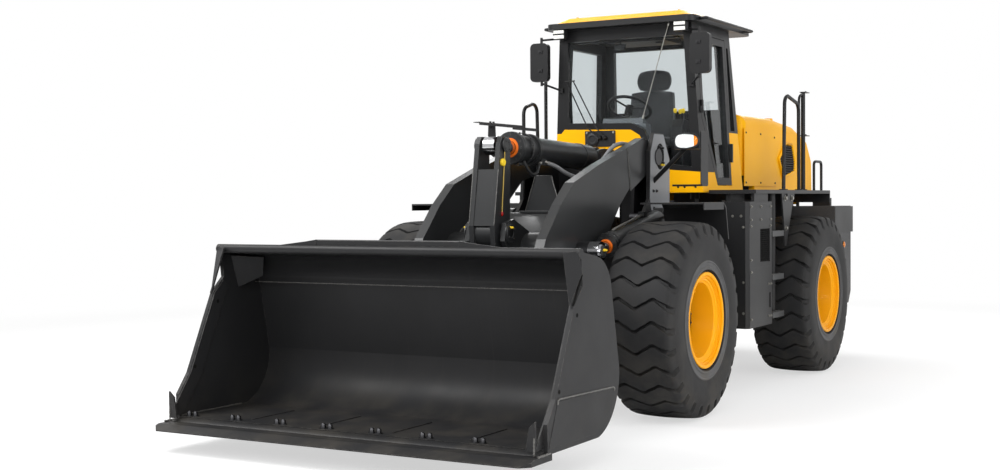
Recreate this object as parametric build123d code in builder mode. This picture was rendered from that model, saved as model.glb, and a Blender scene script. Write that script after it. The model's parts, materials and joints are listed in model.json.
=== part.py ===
from build123d import *
import math
import os

# Articulated wheel loader, millimetres. +X forward, +Y to the machine's left, +Z up.
# The origin lies on the ground, halfway along the machine and on its centre plane.

# ---------------------------------------------------------------- driving dimensions
WHEELBASE = 3380
TRACK = 2310
FRONT_REACH = 3150  # front axle to the bucket's edge
REAR_X = -WHEELBASE  # rear axle from the front axle, as all side-view places are
REAR_OVERHANG = 2150  # rear axle to the back of the counterweight
REAR_REACH = WHEELBASE + REAR_OVERHANG
FRONT_AXLE_X = (REAR_REACH - FRONT_REACH) / 2
PIVOT_X = FRONT_AXLE_X - WHEELBASE / 2

TYRE_RADIUS = 790
TYRE_WIDTH = 600
LUG_DEPTH = 36
LUGS = 28
GROOVE_WIDTH = 30
GROOVE_SWING = 35  # a groove's zigzag to either side, round the tyre
NOTCH_DEPTH = 32  # of a groove's end in the shoulder, inwards
NOTCH_RUN = 60  # below the groove's floor
BEAD_RADIUS = 345
BEAD_WIDTH = 530
AXLE_Z = TYRE_RADIUS
TYRE_Y = TRACK / 2

RIM_FLANGE_RADIUS = 385
RIM_FLANGE_THICK = 22
RIM_WALL = 16
RIM_DISC_Y = -60  # disc plane from the tyre's middle, outwards
RIM_DISC_THICK = 22
RIM_MOUTH_RADIUS = 300
HUB_RADIUS = 190
HUB_REACH = 120
HUB_FLANGE_RADIUS = 235
AXLE_TUBE_RADIUS = 135
AXLE_BOWL_RADIUS = 265
AXLE_BOWL_LENGTH = 420
FACE_GAP = 0.3  # between two faces that turn on each other

PIN_GAP = 0.5  # running clearance of a pin in its bore
SIDE_GAP = 8  # side clearance of an eye between its plates
PIN_HEAD = 12

# Boom and its hinge in the tower, from the front axle
BOOM_PIVOT = (-900, 2130)
BOOM_Y = 550
BOOM_PLATE = 80
BOOM_HUB_RADIUS = 150
BOOM_HUB_WIDTH = 100
BOOM_PIN_RADIUS = 50
BOOM_TIP_RADIUS = 115
CROSS_TUBE = (640, 1350)
CROSS_TUBE_RADIUS = 150
CROSS_TUBE_WALL = 25
EAR_Y = 160
EAR_PLATE = 40

ROCKER_PIVOT = (950, 1500)
ROCKER_TOP = (900, 2190)
ROCKER_FOOT = (970, 750)
ROCKER_PLATE_Y = 95
ROCKER_PLATE = 40
ROCKER_HUB_RADIUS = 120
ROCKER_PIN_RADIUS = 45

BUCKET_PIVOT = (1650, 460)
LINK_PIN = (1730, 710)
LINK_EYE_RADIUS = 75
LINK_WIDTH = 100
LINK_DEPTH = 95

BUCKET_WIDTH = 3030
BUCKET_FLOOR_Z = 190
BUCKET_PLATE = 28
BUCKET_SIDE = 30
EDGE_PLATE = 40
EDGE_LENGTH = 330
EDGE_BEVEL = 90
EDGE_CORNER = 60
LUG_PLATE = 36
LUG_GAP = 14
GUARD_HALF = 620
GUARD_RISE = 60

LIFT_Y = 740
LIFT_EYE = (560, 1350)
LIFT_BASE = (-720, 1600)
LIFT_BARREL_RADIUS = 85
LIFT_ROD_RADIUS = 45
LIFT_EYE_WIDTH = 90
LIFT_EYE_RADIUS = 85
LIFT_PIN_RADIUS = 38
LIFT_ROD_SHOWN = 190
LIFT_COLLAR_RADIUS = 78
LIFT_CAP_RADIUS = 56

DUMP_BARREL_RADIUS = 112
DUMP_ROD_RADIUS = 55
DUMP_EYE_WIDTH = 100
DUMP_EYE_RADIUS = 100
DUMP_PIN_RADIUS = 42
DUMP_ROD_SHOWN = 280
DUMP_GLAND_LENGTH = 330
DUMP_GLAND_RADIUS = 132

STEER_FRONT = (-WHEELBASE / 2 + 300, 470)
STEER_REAR = (REAR_X + 840, 470)
STEER_Z = 920
STEER_BARREL_RADIUS = 55
STEER_ROD_RADIUS = 28
STEER_EYE_RADIUS = 55
STEER_EYE_HEIGHT = 60
STEER_PIN_RADIUS = 25
STEER_ROD_SHOWN = 400
STEER_ROD_START = 370  # from the rear pin to the rod's inner end

# Tower and front frame
TOWER_OUTER_Y = 625
TOWER_INNER_Y = 475
TOWER_PLATE = 30
TOWER_BACK_X = -1165
TOWER_TOP_Z = 2340
TOWER_FLOOR_Z = 1260
TOWER_FLOOR_PLATE = 50
TOWER_PILLAR_X = -730
FRONT_BOX_HALF = 300
FRONT_BOX_LOW = 620
FRONT_BOX_NOSE = 330

HINGE_LEVELS = (640, 1200)
HINGE_EAR = 60
HINGE_FORK = 45
HINGE_GAP = 6
HINGE_EYE_RADIUS = 140
HINGE_PIN_RADIUS = 45

# Rear frame
RAIL_Y = 225
RAIL_PLATE = 36
RAIL_LOW = 600
RAIL_FRONT_X = REAR_X + 1450
RAIL_BACK_X = REAR_X - 1410

BOX_FRONT_X = REAR_X + 1850
BOX_BACK_X = REAR_X + 1200
BOX_OUTER_Y = 1250
BOX_INNER_Y = 915
BOX_LOW = 580
BOX_TOP = 1730
BOX_CORNER = 60
BOX_VENT_BACK_X = BOX_BACK_X + 60
BOX_VENT_LENGTH = 270
BOX_VENT_DEPTH = 12
BOX_VENT_Z = (1170, 1480)

DECK_TOP = 1840
DECK_PLATE = 35
DECK_FRONT_X = REAR_X + 1660
DECK_BACK_X = REAR_X - 700
DECK_INNER_Y = 800
DECK_OUTER_Y = 1255

STEP_FRONT_X = REAR_X + 1165
STEP_BACK_X = REAR_X + 850
STEP_LEVELS = (640, 1000, 1410)
STEP_TREAD = 34
STEP_POST_RADIUS = 38

RAIL_TUBE_RADIUS = 18
RAIL_BEND = 90

# Cab
CAB_FLOOR_Z = 1820
CAB_ROOF_Z = 3390
CAB_FRONT_X = REAR_X + 1720
CAB_BACK_X = REAR_X + 640
CAB_TOP_FRONT_X = REAR_X + 1780
CAB_TOP_BACK_X = REAR_X + 800
CAB_HALF = 768
CAB_TOP_HALF = 680
CAB_WALL = 60
GLASS_THICK = 6
DOOR_GAP = 6
ROOF_FRONT_X = REAR_X + 1940
ROOF_BACK_X = REAR_X + 360
ROOF_HALF = 760
ROOF_THICK = 55
ROOF_CAP_THICK = 60

# Hood
HOOD_FRONT_X = REAR_X + 590
HOOD_HALF = 750
HOOD_WALL = 25
HOOD_TOP_Z = 2600
HOOD_HINGE = (REAR_X - 1680, 1705)
HOOD_KNUCKLE_RADIUS = 16
HOOD_HINGE_Y = 560
HOOD_PIN_RADIUS = 8

# Counterweight
WEIGHT_FRONT_X = RAIL_BACK_X
WEIGHT_HALF = 1100
WEIGHT_LOW_Z = 560
WEIGHT_TOP_Z = 1670
WEIGHT_CHAMFER = 260
TOW_HOLE_RADIUS = 30
TOW_SLOT_HEIGHT = 120
TOW_SLOT_WIDTH = 240
TOW_SLOT_DEPTH = 190
TOW_SLOT_Z = 820


def ahead(x):
    """Row x of a place given from the front axle."""
    return FRONT_AXLE_X + x


def place(point):
    """Row (x, z) of a side-view point given from the front axle."""
    return (ahead(point[0]), point[1])


def side_plate(outline, y, width, mode=Mode.ADD, inset=0):
    """Plate in the XZ plane, cut to an outline of (x, z) points from the front axle."""
    with BuildSketch(Plane.XZ.offset(-y)) as profile:
        with BuildLine():
            Polyline(*[place(p) for p in outline], close=True)
        make_face()
        if inset:
            offset(amount=-inset, kind=Kind.INTERSECTION, mode=Mode.REPLACE)
    extrude(profile.sketch, amount=width / 2, both=True, mode=mode)


def flat_plate(outline, z_low, z_high, mode=Mode.ADD):
    """Plate in the XY plane, cut to an outline of (x, y) points from the front axle."""
    with BuildSketch(Plane.XY.offset(z_low)) as profile:
        with BuildLine():
            Polyline(*[(ahead(x), y) for x, y in outline], close=True)
        make_face()
    extrude(profile.sketch, amount=z_high - z_low, mode=mode)


def cross_plate(outline, x_back, x_front, mode=Mode.ADD):
    """Plate in the YZ plane, cut to an outline of (y, z) points."""
    with BuildSketch(Plane.YZ.offset(ahead(x_back))) as profile:
        with BuildLine():
            Polyline(*outline, close=True)
        make_face()
    extrude(profile.sketch, amount=x_front - x_back, mode=mode)


def sided(side, near, far):
    """Limits (low, high) of a range given outwards from the centre plane, on one side."""
    return sorted((side * near, side * far))


def block(x, y, z, mode=Mode.ADD):
    """Block between (low, high) limits, x from the front axle."""
    with Locations(((ahead(x[0]) + ahead(x[1])) / 2, (y[0] + y[1]) / 2, (z[0] + z[1]) / 2)):
        Box(abs(x[1] - x[0]), abs(y[1] - y[0]), abs(z[1] - z[0]), mode=mode)


def round_y(point, radius, y_low, y_high, mode=Mode.ADD):
    """Cylinder along Y about a side-view point from the front axle."""
    x, z = place(point)
    with BuildSketch(Plane.XZ.offset(-y_high)) as profile:
        with Locations((x, z)):
            Circle(radius)
    extrude(profile.sketch, amount=y_high - y_low, mode=mode)


def round_z(x, y, radius, z_low, z_high, mode=Mode.ADD):
    """Cylinder along Z, x from the front axle."""
    with BuildSketch(Plane.XY.offset(z_low)) as profile:
        with Locations((ahead(x), y)):
            Circle(radius)
    extrude(profile.sketch, amount=z_high - z_low, mode=mode)


def rod_between(start, end, radius, mode=Mode.ADD):
    """Round bar between two row points."""
    a, b = Vector(*start), Vector(*end)
    with BuildSketch(Plane(origin=a, z_dir=b - a)) as profile:
        Circle(radius)
    extrude(profile.sketch, amount=(b - a).length, mode=mode)


def bent_tube(points, radius, bend):
    """Round tube along straight runs joined by arcs, through row points."""
    with BuildLine() as path:
        FilletPolyline(*points, radius=bend)
    start = path.line @ 0
    with BuildSketch(Plane(origin=start, z_dir=path.line % 0)) as profile:
        Circle(radius)
    sweep(profile.sketch, path=path.line)


def along(start, end, distance):
    """Side-view point at a distance from start towards end."""
    length = math.dist(start, end)
    t = distance / length
    return (start[0] + (end[0] - start[0]) * t, start[1] + (end[1] - start[1]) * t)


def in_side(point, y):
    """Row point of a side-view point at a given y."""
    x, z = place(point)
    return (x, y, z)


def write(part, name):
    part.label = name
    export_step(part, f"parts/{name}.step")
    print(name, len(part.solids()), "solids", round(part.volume / 1e6), "litres")


os.makedirs("parts", exist_ok=True)
SIDES = (("left", 1), ("right", -1))
AXLES = (("front", 0), ("rear", REAR_X))

# ---------------------------------------------------------------- wheels
TREAD_RADIUS = TYRE_RADIUS - LUG_DEPTH
SHOULDER_STEP = 22  # from the wall's widest place in to the shoulder
BARREL_RADIUS = BEAD_RADIUS - PIN_GAP
RIM_HALF = BEAD_WIDTH / 2


def groove_band(places, low):
    """Zigzag prism over the given places along the tyre's width, from a radius out past the tread."""
    middles = []
    for y in places:
        quarters = abs(y) / (TYRE_WIDTH / 4)
        middles.append((GROOVE_SWING * (2 * abs(quarters - 1) - 1), y))
    fore = [(x + GROOVE_WIDTH / 2, y) for x, y in middles]
    aft = [(x - GROOVE_WIDTH / 2, y) for x, y in reversed(middles)]
    with BuildSketch(Plane.XY.offset(low)) as band:
        with BuildLine():
            Polyline(*fore, *aft, close=True)
        make_face()
    extrude(band.sketch, amount=TYRE_RADIUS - low + 10)


def carcass():
    """Solid of revolution about Y at the origin: bead, bulging wall, shoulder and tread."""
    half = TYRE_WIDTH / 2
    with BuildSketch(Plane.XY) as section:
        with BuildLine():
            Polyline((-RIM_HALF, BEAD_RADIUS), (RIM_HALF, BEAD_RADIUS), (RIM_HALF, RIM_FLANGE_RADIUS + 14))
            ThreePointArc(
                (RIM_HALF, RIM_FLANGE_RADIUS + 14),
                (half, (RIM_FLANGE_RADIUS + TREAD_RADIUS) / 2),
                (half - SHOULDER_STEP, TREAD_RADIUS - 40),
            )
            Polyline(
                (half - SHOULDER_STEP, TREAD_RADIUS - 40),
                (half - SHOULDER_STEP - 4, TYRE_RADIUS - 40),
                (half - 90, TYRE_RADIUS),
            )
            Line((half - 90, TYRE_RADIUS), (-half + 90, TYRE_RADIUS))
            Polyline(
                (-half + 90, TYRE_RADIUS),
                (-half + SHOULDER_STEP + 4, TYRE_RADIUS - 40),
                (-half + SHOULDER_STEP, TREAD_RADIUS - 40),
            )
            ThreePointArc(
                (-half + SHOULDER_STEP, TREAD_RADIUS - 40),
                (-half, (RIM_FLANGE_RADIUS + TREAD_RADIUS) / 2),
                (-RIM_HALF, RIM_FLANGE_RADIUS + 14),
            )
            Line((-RIM_HALF, RIM_FLANGE_RADIUS + 14), (-RIM_HALF, BEAD_RADIUS))
        make_face()
    axle = Plane(origin=(0, 0, 0), x_dir=(0, 1, 0), z_dir=(-1, 0, 0))
    revolve(axle.from_local_coords(section.sketch.face()), axis=Axis.Y)


def tyre():
    """Tyre about the origin, its lugs left between zigzag grooves that end as notches in the shoulders."""
    wall = TYRE_WIDTH / 2
    with BuildPart() as groove:
        groove_band((-wall, -wall / 2, 0, wall / 2, wall), TREAD_RADIUS)
        for side in (1, -1):
            groove_band(sided(side, wall - SHOULDER_STEP - NOTCH_DEPTH, wall), TREAD_RADIUS - NOTCH_RUN)
    with BuildPart() as whole:
        carcass()
        for step in range(LUGS):
            add(Rot(0, 360 / LUGS * step, 0) * groove.part, mode=Mode.SUBTRACT)
    return whole.part


def rim(x, y, side):
    """Flanged barrel with a deep disc and the planetary hub."""
    inner = BARREL_RADIUS - RIM_WALL
    disc = RIM_DISC_Y
    lip = RIM_HALF + RIM_FLANGE_THICK
    outline = (
        (-lip, RIM_FLANGE_RADIUS),
        (-RIM_HALF, RIM_FLANGE_RADIUS),
        (-RIM_HALF, BARREL_RADIUS),
        (RIM_HALF, BARREL_RADIUS),
        (RIM_HALF, RIM_FLANGE_RADIUS),
        (lip, RIM_FLANGE_RADIUS),
        (lip, RIM_FLANGE_RADIUS - 26),
        (lip - 60, RIM_MOUTH_RADIUS),
        (disc + RIM_DISC_THICK + 40, RIM_MOUTH_RADIUS - 14),
        (disc + RIM_DISC_THICK, HUB_FLANGE_RADIUS),
        (disc + RIM_DISC_THICK + 40, HUB_FLANGE_RADIUS),
        (disc + RIM_DISC_THICK + 40, HUB_RADIUS),
        (disc + RIM_DISC_THICK + HUB_REACH, HUB_RADIUS - 20),
        (disc + RIM_DISC_THICK + HUB_REACH + 30, HUB_RADIUS - 60),
        (disc + RIM_DISC_THICK + HUB_REACH + 30, 0),
        (disc - 30, 0),
        (disc - 30, AXLE_TUBE_RADIUS + 30),
        (disc, AXLE_TUBE_RADIUS + 60),
        (disc, inner),
        (-lip, inner),
    )
    with BuildSketch(Plane.XY) as section:
        with BuildLine():
            Polyline(*outline, close=True)
        make_face()
    axle = Plane(origin=(ahead(x), y, AXLE_Z), x_dir=(0, side, 0), z_dir=(-side, 0, 0))
    revolve(axle.from_local_coords(section.sketch.face()), axis=Axis((ahead(x), y, AXLE_Z), (0, 1, 0)))


lugged_tyre = tyre()
for end, axle_x in AXLES:
    for side_name, side in SIDES:
        with BuildPart() as tyre_part:
            add(Pos(ahead(axle_x), side * TYRE_Y, AXLE_Z) * lugged_tyre)
        write(tyre_part.part, f"tyre_{end}_{side_name}")

        with BuildPart() as rim_part:
            rim(axle_x, side * TYRE_Y, side)
        write(rim_part.part, f"rim_{end}_{side_name}")

    # Axle housing: bowl, two tubes and the flanges at their ends
    tube_end = TYRE_Y + RIM_DISC_Y - 30 - FACE_GAP
    with BuildPart() as axle_part:
        round_y((axle_x, AXLE_Z), AXLE_TUBE_RADIUS, -tube_end, tube_end)
        with BuildSketch(Plane.XY.offset(0)) as bowl:
            with BuildLine():
                Polyline(
                    (-AXLE_BOWL_LENGTH / 2, 0),
                    (-AXLE_BOWL_LENGTH / 2, AXLE_TUBE_RADIUS + 10),
                    (-AXLE_BOWL_LENGTH / 4, AXLE_BOWL_RADIUS),
                    (AXLE_BOWL_LENGTH / 4, AXLE_BOWL_RADIUS),
                    (AXLE_BOWL_LENGTH / 2, AXLE_TUBE_RADIUS + 10),
                    (AXLE_BOWL_LENGTH / 2, 0),
                    close=True,
                )
            make_face()
        housing = Plane(origin=(ahead(axle_x), 0, AXLE_Z), x_dir=(0, 1, 0), z_dir=(-1, 0, 0))
        revolve(
            housing.from_local_coords(bowl.sketch.face()),
            axis=Axis((ahead(axle_x), 0, AXLE_Z), (0, 1, 0)),
        )
        for side in (1, -1):
            round_y((axle_x, AXLE_Z), AXLE_TUBE_RADIUS + 22, *sided(side, tube_end - 60, tube_end - 20))
    write(axle_part.part, f"axle_{end}")

# ---------------------------------------------------------------- front frame
PLATE_HALF = TOWER_PLATE / 2
AXLE_PAD = 60
FRONT_BOX_BACK_X = TOWER_BACK_X + 20
STEER_LUG = 26
STEER_EYE_LOW = STEER_Z - STEER_EYE_HEIGHT / 2
STEER_EYE_HIGH = STEER_Z + STEER_EYE_HEIGHT / 2


def hinge_ear(level):
    """Ear of the front frame, from its box back to a round eye about the pivot."""
    with BuildSketch(Plane.XY.offset(level)) as profile:
        with BuildLine():
            Polyline(
                (FRONT_AXLE_X + FRONT_BOX_BACK_X, FRONT_BOX_HALF),
                (PIVOT_X + 40, HINGE_EYE_RADIUS - 8),
                (PIVOT_X + 40, -HINGE_EYE_RADIUS + 8),
                (FRONT_AXLE_X + FRONT_BOX_BACK_X, -FRONT_BOX_HALF),
                close=True,
            )
        make_face()
        with Locations((PIVOT_X, 0)):
            Circle(HINGE_EYE_RADIUS)
            Circle(HINGE_PIN_RADIUS + PIN_GAP, mode=Mode.SUBTRACT)
    extrude(profile.sketch, amount=HINGE_EAR)


with BuildPart() as front_frame:
    # Box beam over the axle, from the hinge ears to the nose
    block(
        (FRONT_BOX_BACK_X, FRONT_BOX_NOSE),
        (-FRONT_BOX_HALF, FRONT_BOX_HALF),
        (FRONT_BOX_LOW, TOWER_FLOOR_Z),
    )
    block(
        (FRONT_BOX_BACK_X + 60, FRONT_BOX_NOSE - 60),
        (-FRONT_BOX_HALF + 40, FRONT_BOX_HALF - 40),
        (FRONT_BOX_LOW - 1, TOWER_FLOOR_Z - 60),
        mode=Mode.SUBTRACT,
    )
    # Room for the axle under its pads
    block(
        (-AXLE_BOWL_RADIUS - 20, AXLE_BOWL_RADIUS + 20),
        (-FRONT_BOX_HALF - 1, FRONT_BOX_HALF + 1),
        (FRONT_BOX_LOW - 1, AXLE_Z + AXLE_TUBE_RADIUS + AXLE_PAD),
        mode=Mode.SUBTRACT,
    )
    # Pads that seat the frame on the axle's tubes
    for side in (1, -1):
        block(
            (-AXLE_TUBE_RADIUS + 20, AXLE_TUBE_RADIUS - 20),
            sided(side, FRONT_BOX_HALF, AXLE_BOWL_LENGTH / 2 + 8),
            (AXLE_Z + AXLE_TUBE_RADIUS, AXLE_Z + AXLE_TUBE_RADIUS + AXLE_PAD + 1),
        )
    # Tower floor and its four plates
    block(
        (TOWER_BACK_X, -420),
        (-TOWER_OUTER_Y - PLATE_HALF, TOWER_OUTER_Y + PLATE_HALF),
        (TOWER_FLOOR_Z, TOWER_FLOOR_Z + TOWER_FLOOR_PLATE),
    )
    outer_outline = (
        (TOWER_BACK_X, TOWER_FLOOR_Z),
        (TOWER_BACK_X, 2120),
        (BOOM_PIVOT[0] - 130, TOWER_TOP_Z),
        (BOOM_PIVOT[0] + 90, TOWER_TOP_Z),
        (TOWER_PILLAR_X, 2180),
        (TOWER_PILLAR_X + 20, 1760),
        (LIFT_BASE[0] + 120, 1640),
        (LIFT_BASE[0] + 130, 1540),
        (-420, TOWER_FLOOR_Z + TOWER_FLOOR_PLATE),
        (-420, TOWER_FLOOR_Z),
    )
    inner_outline = (
        (TOWER_BACK_X, TOWER_FLOOR_Z),
        (TOWER_BACK_X, 2100),
        (BOOM_PIVOT[0] - 120, BOOM_PIVOT[1] + 140),
        (BOOM_PIVOT[0] + 100, BOOM_PIVOT[1] + 140),
        (BOOM_PIVOT[0] + 160, BOOM_PIVOT[1] - 60),
        (-700, 1500),
        (-420, TOWER_FLOOR_Z + TOWER_FLOOR_PLATE),
        (-420, TOWER_FLOOR_Z),
    )
    for side in (1, -1):
        side_plate(outer_outline, side * TOWER_OUTER_Y, TOWER_PLATE)
        side_plate(inner_outline, side * TOWER_INNER_Y, TOWER_PLATE)
        # Pillar face that closes the front of the outer plate
        block(
            (TOWER_PILLAR_X - 26, TOWER_PILLAR_X + 4),
            sided(side, TOWER_OUTER_Y + PLATE_HALF, TOWER_OUTER_Y - PLATE_HALF - 6),
            (1760, 2180),
        )
        # Lugs of the dump cylinder, on the back wall
        side_plate(
            (
                (TOWER_BACK_X, 1960),
                (TOWER_BACK_X, BOOM_PIVOT[1] + 80),
                (BOOM_PIVOT[0] - 60, BOOM_PIVOT[1] + 90),
                (BOOM_PIVOT[0] + 60, BOOM_PIVOT[1] + 70),
                (BOOM_PIVOT[0] + 90, BOOM_PIVOT[1] - 20),
                (BOOM_PIVOT[0] + 30, BOOM_PIVOT[1] - 95),
            ),
            side * (DUMP_EYE_WIDTH / 2 + SIDE_GAP + 18),
            36,
        )
    # Back wall between the outer plates, with a hatch for the hoses
    block((TOWER_BACK_X, TOWER_BACK_X + 30), (-TOWER_OUTER_Y, TOWER_OUTER_Y), (TOWER_FLOOR_Z, 2090))
    block((TOWER_BACK_X - 1, TOWER_BACK_X + 31), (-180, 180), (1400, 1800), mode=Mode.SUBTRACT)
    # Hinge ears and the steering cylinders' lugs
    for level in HINGE_LEVELS:
        hinge_ear(level)
    for side in (1, -1):
        for z_low in (STEER_EYE_LOW - FACE_GAP - STEER_LUG, STEER_EYE_HIGH + FACE_GAP):
            with BuildSketch(Plane.XY.offset(z_low)) as lug:
                with BuildLine():
                    Polyline(
                        (FRONT_AXLE_X + FRONT_BOX_BACK_X, side * (FRONT_BOX_HALF - 60)),
                        (FRONT_AXLE_X + STEER_FRONT[0] - 20, side * (STEER_FRONT[1] - STEER_EYE_RADIUS)),
                        (FRONT_AXLE_X + STEER_FRONT[0] + 20, side * (STEER_FRONT[1] + STEER_EYE_RADIUS)),
                        (FRONT_AXLE_X + FRONT_BOX_BACK_X + 120, side * FRONT_BOX_HALF),
                        close=True,
                    )
                make_face()
                with Locations((FRONT_AXLE_X + STEER_FRONT[0], side * STEER_FRONT[1])):
                    Circle(STEER_EYE_RADIUS)
            extrude(lug.sketch, amount=STEER_LUG)
            # Pin's head on the lug's outer face
            head_low = z_low - PIN_HEAD if z_low < STEER_Z else z_low + STEER_LUG
            round_z(STEER_FRONT[0], side * STEER_FRONT[1], STEER_PIN_RADIUS, head_low, head_low + PIN_HEAD)
    # Bores: boom pins, dump cylinder pin, lift cylinder pins
    reach = TOWER_OUTER_Y + PLATE_HALF + 1
    round_y(BOOM_PIVOT, BOOM_PIN_RADIUS, TOWER_INNER_Y - PLATE_HALF - 1, reach, mode=Mode.SUBTRACT)
    round_y(BOOM_PIVOT, BOOM_PIN_RADIUS, -reach, -TOWER_INNER_Y + PLATE_HALF + 1, mode=Mode.SUBTRACT)
    round_y(BOOM_PIVOT, DUMP_PIN_RADIUS, -DUMP_EYE_WIDTH, DUMP_EYE_WIDTH, mode=Mode.SUBTRACT)
    round_y(LIFT_BASE, LIFT_PIN_RADIUS, TOWER_INNER_Y - PLATE_HALF - 1, reach, mode=Mode.SUBTRACT)
    round_y(LIFT_BASE, LIFT_PIN_RADIUS, -reach, -TOWER_INNER_Y + PLATE_HALF + 1, mode=Mode.SUBTRACT)
write(front_frame.part, "front_frame")

with BuildPart() as tower_pins:
    inner_face, outer_face = TOWER_INNER_Y - PLATE_HALF, TOWER_OUTER_Y + PLATE_HALF
    eye_inner, eye_outer = LIFT_Y - LIFT_EYE_WIDTH / 2 - SIDE_GAP, LIFT_Y + LIFT_EYE_WIDTH / 2 + SIDE_GAP
    for side in (1, -1):
        # Boom pins, headed outside the tower
        round_y(BOOM_PIVOT, BOOM_PIN_RADIUS, *sided(side, inner_face, outer_face + PIN_HEAD))
        round_y(BOOM_PIVOT, BOOM_PIN_RADIUS + 22, *sided(side, outer_face, outer_face + PIN_HEAD))
        # Lift cylinder pins, reaching outside the tower, with their collars and heads
        round_y(LIFT_BASE, LIFT_PIN_RADIUS, *sided(side, inner_face, eye_outer))
        round_y(LIFT_BASE, LIFT_PIN_RADIUS + 24, *sided(side, outer_face, eye_inner))
        round_y(LIFT_BASE, LIFT_PIN_RADIUS + 18, *sided(side, eye_outer, eye_outer + PIN_HEAD))
    dump_reach = DUMP_EYE_WIDTH / 2 + SIDE_GAP + 36 + PIN_HEAD
    round_y(BOOM_PIVOT, DUMP_PIN_RADIUS, -dump_reach, dump_reach)
write(tower_pins.part, "tower_pins")

# Mudguards behind the front wheels: flat top, rounded rear corner and a sloping lip
GUARD_TOP_Z = 1730
MUDGUARD_PLATE = 14
MUDGUARD_INNER_Y = 840
MUDGUARD_OUTER_Y = 1400
MUDGUARD_FRONT_X = -60
MUDGUARD_BACK_X = -620
with BuildPart() as mudguards:
    for side in (1, -1):
        top = GUARD_TOP_Z
        under = GUARD_TOP_Z - MUDGUARD_PLATE
        outline = (
            (MUDGUARD_FRONT_X, top),
            (-500, top),
            (-560, top - 40),
            (MUDGUARD_BACK_X, 1420),
            (MUDGUARD_BACK_X + MUDGUARD_PLATE, 1420),
            (-560 + MUDGUARD_PLATE, under - 34),
            (-506, under),
            (MUDGUARD_FRONT_X, under),
        )
        middle = side * (MUDGUARD_INNER_Y + MUDGUARD_OUTER_Y) / 2
        side_plate(outline, middle, MUDGUARD_OUTER_Y - MUDGUARD_INNER_Y)
        # Turned-down outer edge
        block(
            (-500, MUDGUARD_FRONT_X),
            sided(side, MUDGUARD_OUTER_Y, MUDGUARD_OUTER_Y - 10),
            (top - 60, top),
        )
        # Stay that carries the guard on the tower, round the back of the lift cylinder
        stay = (
            (-885, TOWER_OUTER_Y + PLATE_HALF),
            (-885, MUDGUARD_INNER_Y - 50),
            (-790, MUDGUARD_INNER_Y + 60),
            (-568, MUDGUARD_INNER_Y + 60),
            (-568, MUDGUARD_INNER_Y + 2),
            (-812, MUDGUARD_INNER_Y + 2),
            (-812, TOWER_OUTER_Y + PLATE_HALF),
        )
        flat_plate([(x, side * y) for x, y in stay], 1600, 1640)
write(mudguards.part, "mudguards")

# Headlamps on struts from the tower, with their lenses
LAMP_X = -700
LAMP_Y = (880, 1110)
LAMP_Z = (2185, 2325)
LAMP_DEPTH = 110
LENS_THICK = 12
with BuildPart() as headlamps:
    for side in (1, -1):
        y_low, y_high = sided(side, LAMP_Y[0], LAMP_Y[1])
        block((LAMP_X - LAMP_DEPTH, LAMP_X), (y_low, y_high), LAMP_Z)
        rod_between(
            (ahead(-820), side * (TOWER_OUTER_Y - PLATE_HALF), 1896),
            (ahead(LAMP_X - LAMP_DEPTH / 2), side * 960, LAMP_Z[0] + 10),
            20,
        )
    tower_half = TOWER_OUTER_Y + PLATE_HALF
    block(
        (TOWER_BACK_X, TOWER_PILLAR_X + 40),
        (-tower_half, tower_half),
        (1700, TOWER_TOP_Z),
        mode=Mode.SUBTRACT,
    )
write(headlamps.part, "headlamps")

with BuildPart() as headlamp_lenses:
    for side in (1, -1):
        y_low, y_high = sided(side, LAMP_Y[0] + 10, LAMP_Y[1] - 10)
        block((LAMP_X, LAMP_X + LENS_THICK), (y_low, y_high), (LAMP_Z[0] + 10, LAMP_Z[1] - 10))
write(headlamp_lenses.part, "headlamp_lenses")

# ---------------------------------------------------------------- boom
BOOM_UPPER = ((-700, 2290), (200, 2040), (655, 1894), (880, 1720), (1130, 1460), (1490, 800))
BOOM_LOWER = ((1500, 460), (900, 880), (420, 1130), (70, 1430), (-220, 1720), (-515, 1930), (-800, 1990))
BOOM_EYE_WIDTH = BOOM_HUB_WIDTH

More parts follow.
